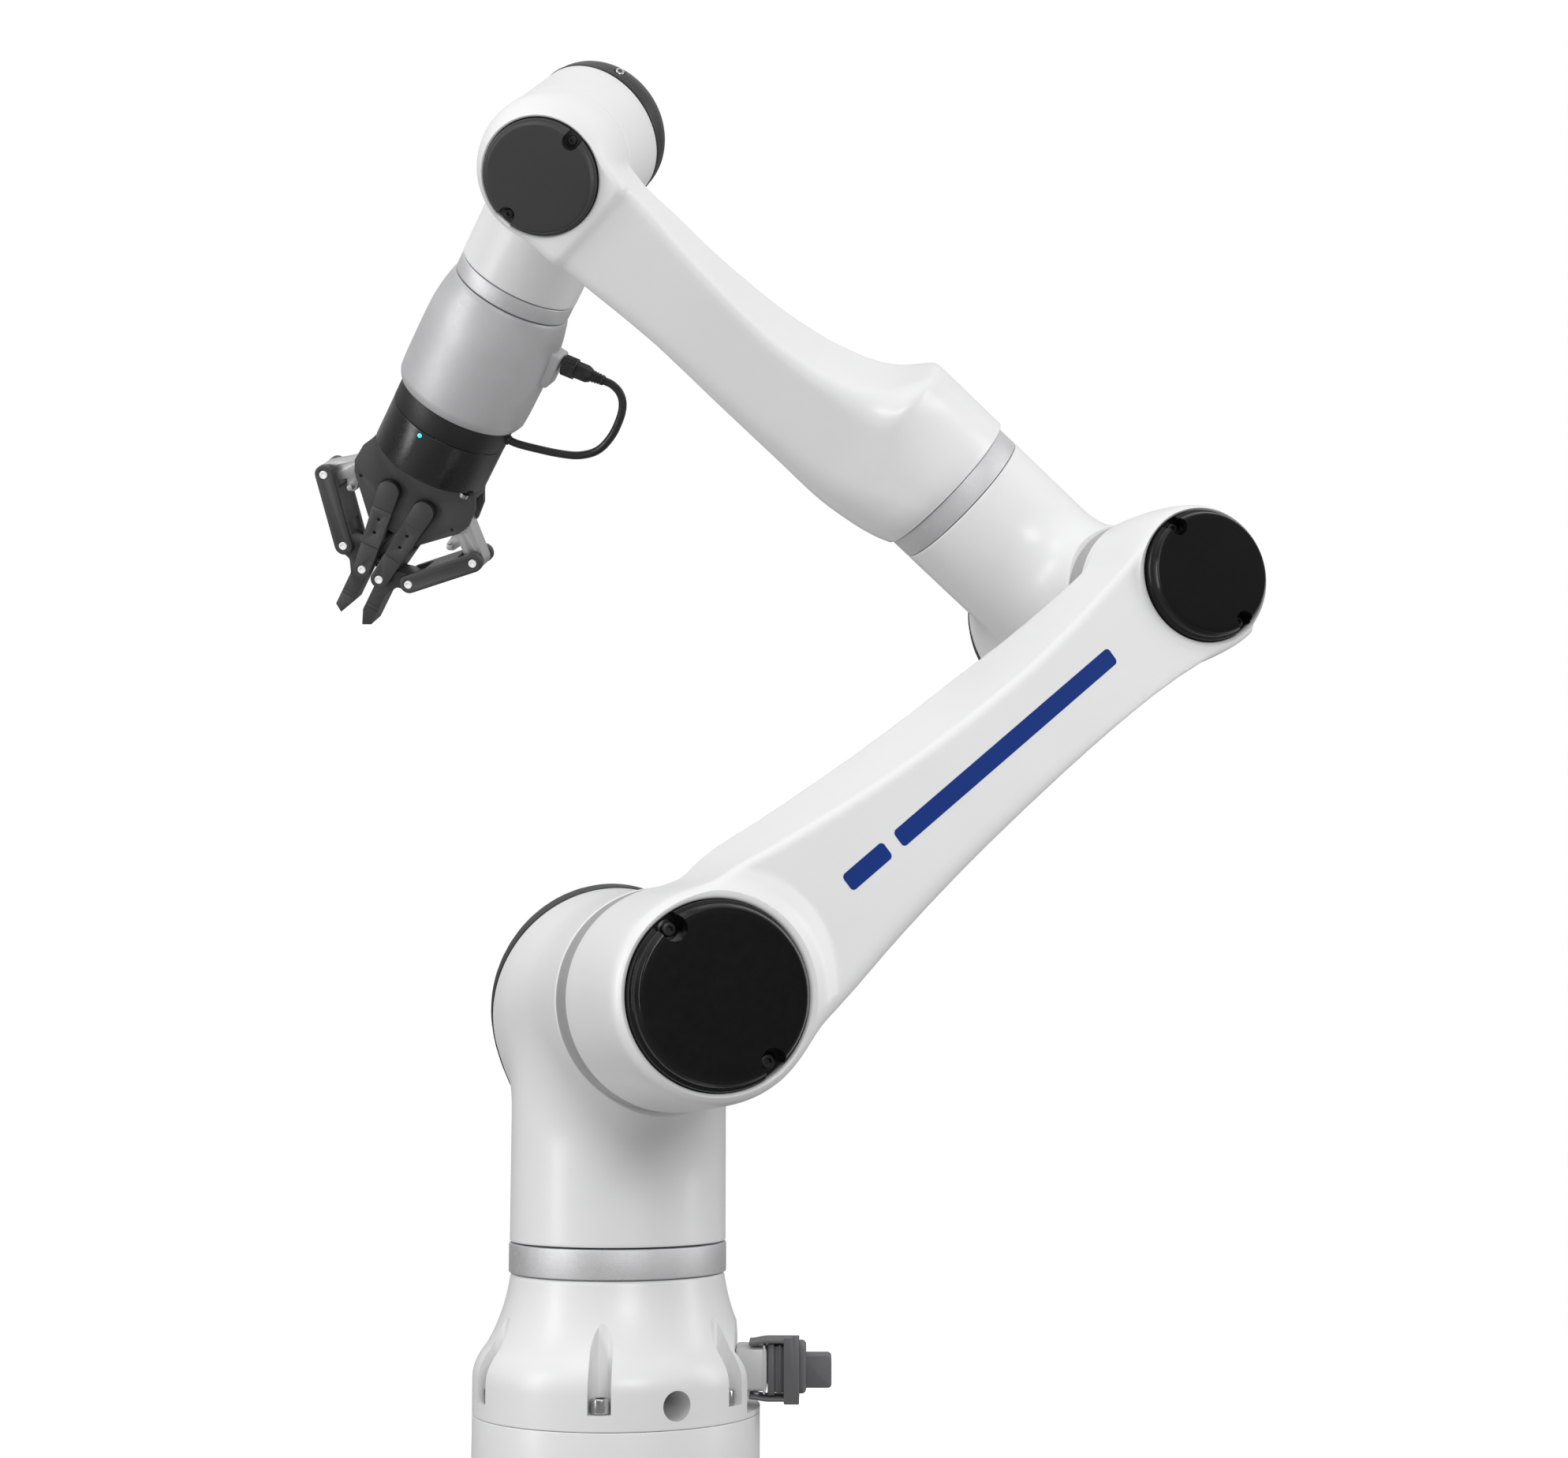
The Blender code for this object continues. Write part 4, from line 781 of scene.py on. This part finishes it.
# plain blue marking strip on the flat front of the upper arm, in place of lettering
for tag, x0, x1 in (("a", 92, 122), ("b", 130, 301)):
    pts = round_poly([(x0, -5.0, 2.4), (x1, -5.0, 2.4), (x1, 5.0, 2.4), (x0, 5.0, 2.4)], closed=True, n=8)
    bm = bmesh.new()
    up = [bm.verts.new((x, -(181.5 - 0.0921 * x) - 0.14, z)) for x, z in pts]
    dn = [bm.verts.new((x, -(181.5 - 0.0921 * x) + 0.15, z)) for x, z in pts]
    bm.faces.new(up)
    bm.faces.new(dn[::-1])
    for i in range(len(up)):
        bm.faces.new((up[i], dn[i], dn[(i + 1) % len(up)], up[(i + 1) % len(up)]))
    place("marking_strip_" + tag, bm_mesh("marking", bm, M_UPPER), "upper_arm", [], "stripe")


# ---------------------------------------------------------------- end caps with their screws
def end_cap(name, r, face, lip, floor, world, body, nodes, mat, k, screw_mat):
    """Stepped and bevelled cap; two U-shaped notches hold its screws."""
    h = face - lip
    prof = round_poly([(0, face), (r - 9.0 * k, face), (r - 4.7 * k, face, 1.4 * k), (r - 3.0 * k, face - 0.36 * h, 2.0 * k), (r - 2.3 * k, lip + 2.2 * k, 0.7 * k),
                       (r - 1.0 * k, lip + 1.7 * k, 0.8 * k), (r - 0.45, lip - 0.2, 0.6), (r - 0.45, floor + 0.3), (0, floor + 0.3)], n=5)
    tools, spots = [], []
    for sy in (1, -1):
        c = sy * (r - 6.8 * k)
        spot = world @ shift(0, c, 0)
        spots.append(spot)
        u = capsule((0, 0), (0, sy * 14 * k), 6.6 * k, 6.6 * k, 20)
        bm = bmesh.new()
        lo_z, hi_z = lip - 5.0 * k, face + 6
        a = [bm.verts.new((x, y, lo_z)) for x, y in u]
        b = [bm.verts.new((x, y, hi_z)) for x, y in u]
        bm.faces.new(a)
        bm.faces.new(b[::-1])
        for i in range(len(u)):
            bm.faces.new((a[i], b[i], b[(i + 1) % len(u)], a[(i + 1) % len(u)]))
        tools.append(bm_mesh("notch", bm, spot))
    cap = solid(name, turn(name, prof, world, 160), cuts=tools)
    place(name + "_fine", cap, body, [nodes[0]], mat, 28)
    for tag, spot in zip("ab", spots):
        z0 = lip - 5.0 * k
        washer = turn("w", round_poly([(0, z0 + 0.9 * k), (5.3 * k, z0 + 0.9 * k, 0.4 * k), (5.3 * k, z0 + 0.05), (0, z0 + 0.05)], n=3), spot, 48)
        place(name + "_washer_" + tag, washer, body, [], mat, 30)
        head = turn("h", round_poly([(0, z0 + 4.4 * k), (3.8 * k, z0 + 4.4 * k, 0.9 * k), (3.8 * k, z0 + 0.9 * k), (0, z0 + 0.9 * k)], n=4), spot, 48)
        head = solid("h", head, cuts=[hex_cut("k", 3.3 * k, z0 + 2.2 * k, z0 + 6 * k, spot)])
        place(name + "_screw_%s_fine" % tag, head, body, [nodes[1] if tag == "a" else nodes[2]], screw_mat, 30)


end_cap("j2_cap", 48.0, 193.0, 184.0, 166.0, UF, "upper_arm", ("j2_cap", "j2_cap_screw_a", "j2_cap_screw_b"), "gloss_black", 1.0, "black_screw")
end_cap("j3_cap", 37.6, 156.0, 149.0, 135.0, UE, "upper_arm", ("j3_cap", "j3_cap_screw_a", "j3_cap_screw_b"), "gloss_black", 0.776, "black_screw")
end_cap("j5_cap", 32.6, 110.6, 106.3, 93.0, FE, "forearm", ("j5_cap", "j5_cap_screw_a", "j5_cap_screw_b"), "matt_black", 0.70, "black_screw")

# ---------------------------------------------------------------- tool flange housing
shell = flow([(104.1, 37.4), (108.5, 38.6), (121, 41.1), (131, 42.1), (146, 42.3), (170, 42.15), (178, 41.6)], 2.5)
prof = [(28.0, 182.4), (38.2, 182.4), (38.9, 182.2), (39.5, 181.5), (40.5, 179.8), (41.3, 178.1)]
prof += [(float(shell(z)), float(z)) for z in np.arange(177.0, 105.2, -1.5)] + [(37.3, 104.6), (36.9, 104.2), (36.2, 104.1), (28.0, 104.1)]
pad = solid("pad", block("pad", (36.0, -9.5, 121.5), (46.0, 9.5, 143.5), M_TOOL), bevel=1.4, segs=3)
flange = solid("flange", turn("flange", prof, M_TOOL, 192, closed=True), joins=[pad])
place("flange_casting", flange, "tool", ["flange_housing"], "silver", 30)
TR = M_TOOL @ shift(47.2, 0, 127.0) @ rot(99, "Y")


def knurl(r, z, t):
    return r - (0.45 * (0.5 + 0.5 * math.cos(20 * t)) if r > 6.0 and 0.9 < z < 8.2 else 0)


plug = [(0, 9.4), (5.2, 9.4), (6.2, 9.0), (6.6, 8.4), (6.6, 8.0), (6.6, 1.0), (6.6, 0.8), (6.2, 0.4), (4.4, 0.25), (0, 0.25)]
place("plug_nut", turn("plug_nut", plug, TR, 160, wave=knurl), "tool", ["io_connector"], "plug", 40)
grip = round_poly([(0, 18.6), (4.6, 18.6, 0.4), (5.7, 16.2, 0.6), (5.7, 9.2, 0.3), (0, 9.2)], n=4)
place("plug_body", turn("plug_body", grip, TR, 8), "tool", [], "plug", 25)
relief = [(0, 27.6), (2.75, 27.6), (3.1, 27.2), (3.2, 26.4)]
for i in range(4):
    z = 25.6 - i * 1.75
    relief += [(3.25 + 0.18 * i, z), (2.85 + 0.18 * i, z - 0.3), (2.9 + 0.18 * i, z - 0.75), (3.4 + 0.18 * i, z - 1.05)]
relief += [(4.3, 18.4), (0, 18.4)]
place("strain_relief", turn("strain_relief", relief, TR, 48), "tool", [], "plug", 35)

# ---------------------------------------------------------------- gripper body
prof = round_poly([(20, 197.2), (37.6, 197.2, 0.35), (37.6, 182.8, 0.5), (20, 182.8)], n=3)
coup = solid("coupling", turn("coupling", prof, M_TOOL, 192, closed=True), cuts=[rod("sock", 3.3, 33.0, 45.0, M_TOOL @ shift(0, 0, 188.9) @ rot(90, "Y"), 40)])
place("coupling_ring", coup, "tool", ["gripper_coupling"], "coupling", 30)
place("cable_gland", turn("gland", round_poly([(2.55, 2.6), (3.15, 2.6, 0.3), (3.15, -1.5, 0.1), (2.55, -1.5)], n=3), M_TOOL @ shift(36.5, 0, 188.9) @ rot(90, "Y"), 48, closed=True), "tool", [], "plug", 30)
LEDF = GR @ shift(0, 0, 7.1) @ rot(98.5, "Z") @ rot(90, "Y")
SCW = GR @ shift(31.0, 14.5, 0)
prof = round_poly([(0, GRIP_S + 35), (31.5, GRIP_S + 35, 1.5), (35.6, GRIP_S + 34.4, 1.2), (37.5, GRIP_S + 32.6, 0.9), (37.5, 197.55, 0.35), (0, 197.55)], n=4)
body = solid("body", turn("body", prof, M_TOOL, 192), cuts=[rod("led_well", 1.4, 36.2, 40.0, LEDF, 24), rod("screw_well", 4.3, 31.0, 60.0, SCW, 40)])
place("gripper_barrel", body, "tool", ["gripper_body"], "barrel", 30)
place("led_lens", turn("led", round_poly([(0, 37.8), (1.25, 37.7, 0.2), (1.25, 36.5), (0, 36.5)], n=3), LEDF, 32), "tool", ["status_led"], "led")
head = turn("ps", round_poly([(0, 38.2), (3.1, 38.2, 0.8), (3.1, 35.2), (0, 35.2)], n=4), SCW, 40)
place("palm_screw_fine", solid("ps", head, cuts=[hex_cut("k", 2.6, 36.6, 40, SCW)]), "tool", ["palm_screw"], "steel", 30)

half = [(35.0, 30.4, 1.0), (37.0, 36.6, 2.0), (40.5, 44.0, 4.0), (41.5, 56.0, 4.0), (38.5, 63.2, 3.0), (17.5, 86.3, 4.0)]
outline = round_poly(half + [(-p[0], p[1], p[2]) for p in half[::-1]], closed=True, n=6)
tools = []
for sx in (1, -1):
    tools.append(prism("crank_slot", [(sx * 19.0, 44.5), (sx * 60.0, 30.0), (sx * 60.0, 100.0), (sx * 19.0, 100.0)], -6.6, 6.6, GR))
    tools.append(rod("pivot_well", 7.6, 9.7, 14, GR @ shift(sx * 12.7, 0, 61.4) @ rot(-90, "X"), 48))
    tools.append(rod("dowel", 1.2, 9.0, 14, GR @ shift(sx * 33.5, 0, 63.5) @ rot(-90, "X"), 20))
tools.append(prism("palm_top", [(-50, 20), (50, 20), (50, 33.0), (-50, 33.0)], -37.0, 37.0, GR))
palm = solid("palm", prism("palm", outline, -10.5, 10.5, GR), cuts=tools, bevel=0.9, segs=3)
place("palm_block", palm, "tool", ["gripper_palm"], "anodised", 30)

# ---------------------------------------------------------------- finger linkage
CT, ST = math.cos(TH), math.sin(TH)
CRANK, KNUCKLE = (30.6, 54.9), (12.7, 61.4)


def turned(v):
    return (v[0] * CT - v[1] * ST, v[1] * CT + v[0] * ST)


def plus(a, b):
    return (a[0] + b[0], a[1] + b[1])


PA = plus(CRANK, turned((31.5, -4.1)))
PB = plus(CRANK, turned((37.6, 43.0)))
PC = plus(PB, (-17.9, 6.5))
PY = rot(-90, "X")


def lane(a, b, t, w, sx):
    """Point at t along a-b and w to its left."""
    d = np.array(b, float) - np.array(a, float)
    d /= np.linalg.norm(d)
    return (sx * (a[0] + d[0] * t - d[1] * w), a[1] + d[1] * t + d[0] * w)


for side, sx in (("right", 1), ("left", -1)):
    flip = lambda o, sx=sx: [(sx * p[0], *p[1:]) for p in o]
    at = lambda p, sx=sx: GR @ shift(sx * p[0], 0, p[1]) @ PY
    # crank, bare aluminium
    stub = plus(CRANK, turned((19.0, 9.0)))
    crank = prism("crank", flip(capsule(CRANK, PA, 6.5, 5.6)), -6.2, 6.2, GR)
    horn = prism("horn", flip(capsule(plus(CRANK, turned((14.0, 0.0))), stub, 5.0, 3.4, 10)), -6.1, 6.1, GR)
    place(side + "_crank_fine", solid("crank", crank, joins=[horn], cuts=[rod("e", 3.0, -20, 20, at(PA), 32)], bevel=0.55, segs=2),
          side + "_crank", [side + "_crank"], "crank", 30)
    place(side + "_stub_pin", turn("sp", round_poly([(0, 10.8), (1.9, 10.8, 0.4), (1.9, -10.8, 0.4), (0, -10.8)], n=3), at(stub), 32),
          side + "_crank", [], "crank", 30)
    # outer link
    length = math.hypot(PB[0] - PA[0], PB[1] - PA[1])
    inner = [lane(PA, PB, t, w, sx) for t, w in ((-12, -9), (-12, 9), (11, 9), (11, 2.5), (34.0, 2.5), (34.0, 9), (62, 9), (62, -9))]
    link = solid("link", prism("link", flip(capsule(PA, PB, 5.9, 5.9)), -12.8, 12.8, GR),
                 cuts=[prism("g", inner, -8.2, 8.2, GR), rod("a", 3.0, -20, 20, at(PA), 32), rod("b", 3.0, -20, 20, at(PB), 32)], bevel=0.55, segs=2)
    place(side + "_link_fine", link, side + "_crank", [side + "_link"], "anodised", 30)
    # inner knuckle: U-shaped bar with engraved lines and two sight holes
    tools = []
    for t0, t1, h in ((-12.0, 36.0, 10.9), (47.0, 72.0, 8.6)):
        tools.append(prism("g", [lane(KNUCKLE, PC, t, w, sx) for t, w in ((t0, 9), (t0, -9), (t1, -9), (t1, 9))], -h, h, GR))
    tools.append(rod("e", 3.0, -20, 20, at(PC), 32))
    for t in (12.5, 39.0):
        for y0, y1 in ((14.75, 16.0), (-16.0, -14.75)):
            tools.append(prism("line", [lane(KNUCKLE, PC, a, w, sx) for a, w in ((t, 9), (t, -9), (t + 0.55, -9), (t + 0.55, 9))], y0, y1, GR))
    for t in (20.0, 29.5):
        q = lane(KNUCKLE, PC, t, 0.0, 1)
        tools.append(rod("hole", 1.15, 12.8, 17, at(q), 24))
        tools.append(rod("hole", 1.15, -17, -12.8, at(q), 24))
    kn = solid("knuckle", prism("knuckle", flip(capsule(KNUCKLE, PC, 7.0, 5.7)), -15.2, 15.2, GR), cuts=tools, bevel=0.5, segs=2)
    place(side + "_knuckle_fine", kn, side + "_knuckle", [side + "_knuckle"], "anodised", 30)
    # fingertip
    tip = [(PC[0] - 2.3, PC[1] - 5.0, 1.6), (PC[0] - 2.3, 146.0), (PC[0] + 1.6, 156.0, 0.4), (PC[0] + 7.0, 152.5, 0.4),
           (PC[0] + 7.0, 127.5, 5.0), (PC[0] + 11.5, 119.6, 3.0), (PB[0] + 2.0, PB[1] + 5.8, 4.5), (PB[0] + 6.2, PB[1], 4.0), (PB[0] + 1.0, PB[1] - 5.9, 4.5), (PB[0] - 6.0, PB[1] - 3.4, 3.0)]
    tools = [rod("b", 3.0, -20, 20, at(PB), 32), rod("c", 3.0, -20, 20, at(PC), 32)]
    for z in (139.4, 142.2):
        for y0, y1 in ((7.8, 9.0), (-9.0, -7.8)):
            tools.append(prism("line", flip([(PC[0] - 6, z), (PC[0] + 12, z), (PC[0] + 12, z + 0.5), (PC[0] - 6, z + 0.5)]), y0, y1, GR))
    ft = solid("tip", prism("tip", flip(round_poly(tip, closed=True, n=6)), -8.2, 8.2, GR), cuts=tools, bevel=0.5, segs=2)
    place(side + "_fingertip_fine", ft, side + "_fingertip", [side + "_fingertip"], "anodised", 30)
    for tag, p, h, body in (("a", PA, 13.4, "_crank"), ("b", PB, 13.4, "_crank"), ("c", PC, 15.8, "_knuckle")):
        prof = round_poly([(0, h - 0.35), (1.1, h - 0.3, 0.1), (1.5, h, 0.1), (2.6, h, 0.3), (2.6, -h, 0.3), (1.5, -h, 0.1), (1.1, 0.3 - h, 0.1), (0, 0.35 - h)], n=3)
        place("%s_pin_%s_fine" % (side, tag), turn("pin", prof, at(p), 40), side + body, ["%s_pin_%s" % (side, tag)], "pin", 30)

# ---------------------------------------------------------------- drive units stay as the CAD has them
for n in ("j1_drive", "j2_drive", "j3_drive", "j5_drive"):
    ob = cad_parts[n]
    for s in ob.material_slots:
        s.link = "OBJECT"
        s.material = MATS["drive"]

# ---------------------------------------------------------------- floor, light and background
floor = bpy.data.objects.new("floor", turn("floor", [(0, -0.4), (1500, -0.4)], np.eye(4), 96))
scene.collection.objects.link(floor)
fm = bpy.data.materials.new("pale_floor")
fm.use_nodes = True
nt = fm.node_tree
b = nt.nodes["Principled BSDF"]
b.inputs["Base Color"].default_value = (0.9, 0.9, 0.9, 1)
b.inputs["Roughness"].default_value = 0.6
b.inputs["Emission Color"].default_value = (1, 1, 1, 1)
b.inputs["Emission Strength"].default_value = 0.45
tc = nt.nodes.new("ShaderNodeTexCoord")
ln = nt.nodes.new("ShaderNodeVectorMath")
ln.operation = "LENGTH"
nt.links.new(tc.outputs["Object"], ln.inputs[0])
mr = nt.nodes.new("ShaderNodeMapRange")
mr.interpolation_type = "SMOOTHSTEP"
mr.inputs["From Min"].default_value, mr.inputs["From Max"].default_value = 0.45, 1.3
nt.links.new(ln.outputs["Value"], mr.inputs["Value"])
tr = nt.nodes.new("ShaderNodeBsdfTransparent")
dim = nt.nodes.new("ShaderNodeBsdfDiffuse")
dim.inputs["Color"].default_value = (0.28, 0.28, 0.28, 1)
seen = nt.nodes.new("ShaderNodeLightPath")
own = nt.nodes.new("ShaderNodeMixShader")
nt.links.new(seen.outputs["Is Camera Ray"], own.inputs["Fac"])
nt.links.new(dim.outputs["BSDF"], own.inputs[1])
nt.links.new(b.outputs["BSDF"], own.inputs[2])
mx = nt.nodes.new("ShaderNodeMixShader")
nt.links.new(mr.outputs["Result"], mx.inputs["Fac"])
nt.links.new(own.outputs["Shader"], mx.inputs[1])
nt.links.new(tr.outputs["BSDF"], mx.inputs[2])
nt.links.new(mx.outputs["Shader"], nt.nodes["Material Output"].inputs["Surface"])
floor.data.materials.append(fm)

world = bpy.data.worlds.new("studio")
scene.world = world
world.use_nodes = True
nt = world.node_tree
bg = nt.nodes["Background"]
tc = nt.nodes.new("ShaderNodeTexCoord")
sp3 = nt.nodes.new("ShaderNodeSeparateXYZ")
nt.links.new(tc.outputs["Generated"], sp3.inputs[0])
rm = nt.nodes.new("ShaderNodeValToRGB")
e = rm.color_ramp.elements
e[0].position, e[0].color = 0.15, (1.0, 1.0, 1.0, 1)
e[1].position, e[1].color = 0.95, (0.98, 0.98, 0.98, 1)
mid = e.new(0.5)
mid.color = (0.16, 0.16, 0.16, 1)
mp = nt.nodes.new("ShaderNodeMapRange")
mp.inputs["From Min"].default_value, mp.inputs["From Max"].default_value = -1, 1
nt.links.new(sp3.outputs["Z"], mp.inputs["Value"])
nt.links.new(mp.outputs["Result"], rm.inputs["Fac"])
nt.links.new(rm.outputs["Color"], bg.inputs["Color"])
bg.inputs["Strength"].default_value = 1.0
bg2 = nt.nodes.new("ShaderNodeBackground")
bg2.inputs["Color"].default_value = (1, 1, 1, 1)
lp = nt.nodes.new("ShaderNodeLightPath")
wm = nt.nodes.new("ShaderNodeMixShader")
nt.links.new(lp.outputs["Is Camera Ray"], wm.inputs["Fac"])
nt.links.new(bg.outputs["Background"], wm.inputs[1])
nt.links.new(bg2.outputs["Background"], wm.inputs[2])
nt.links.new(wm.outputs["Shader"], nt.nodes["World Output"].inputs["Surface"])


def area(name, loc, target, size, power, size_y=None):
    ld = bpy.data.lights.new(name, "AREA")
    ld.energy = power
    ld.size = size
    if size_y:
        ld.shape = "RECTANGLE"
        ld.size_y = size_y
    ob = bpy.data.objects.new(name, ld)
    scene.collection.objects.link(ob)
    ob.location = loc
    ob.rotation_euler = (Vector(target) - Vector(loc)).to_track_quat("-Z", "Y").to_euler()
    return ob


area("key_light", (-1.5, -1.2, 2.6), (0.05, 0, 0.45), 1.4, 11, 1.4)
area("front_light", (-0.15, -2.4, 1.05), (0.05, 0, 0.5), 0.8, 17, 0.8)
area("right_strip", (2.2, -0.9, 0.9), (0.1, 0, 0.5), 0.5, 15, 1.8)
area("left_strip", (-2.3, -0.3, 0.7), (0.0, 0, 0.4), 0.5, 20, 1.8)
scene.view_settings.view_transform = "Standard"
scene.view_settings.look = "None"
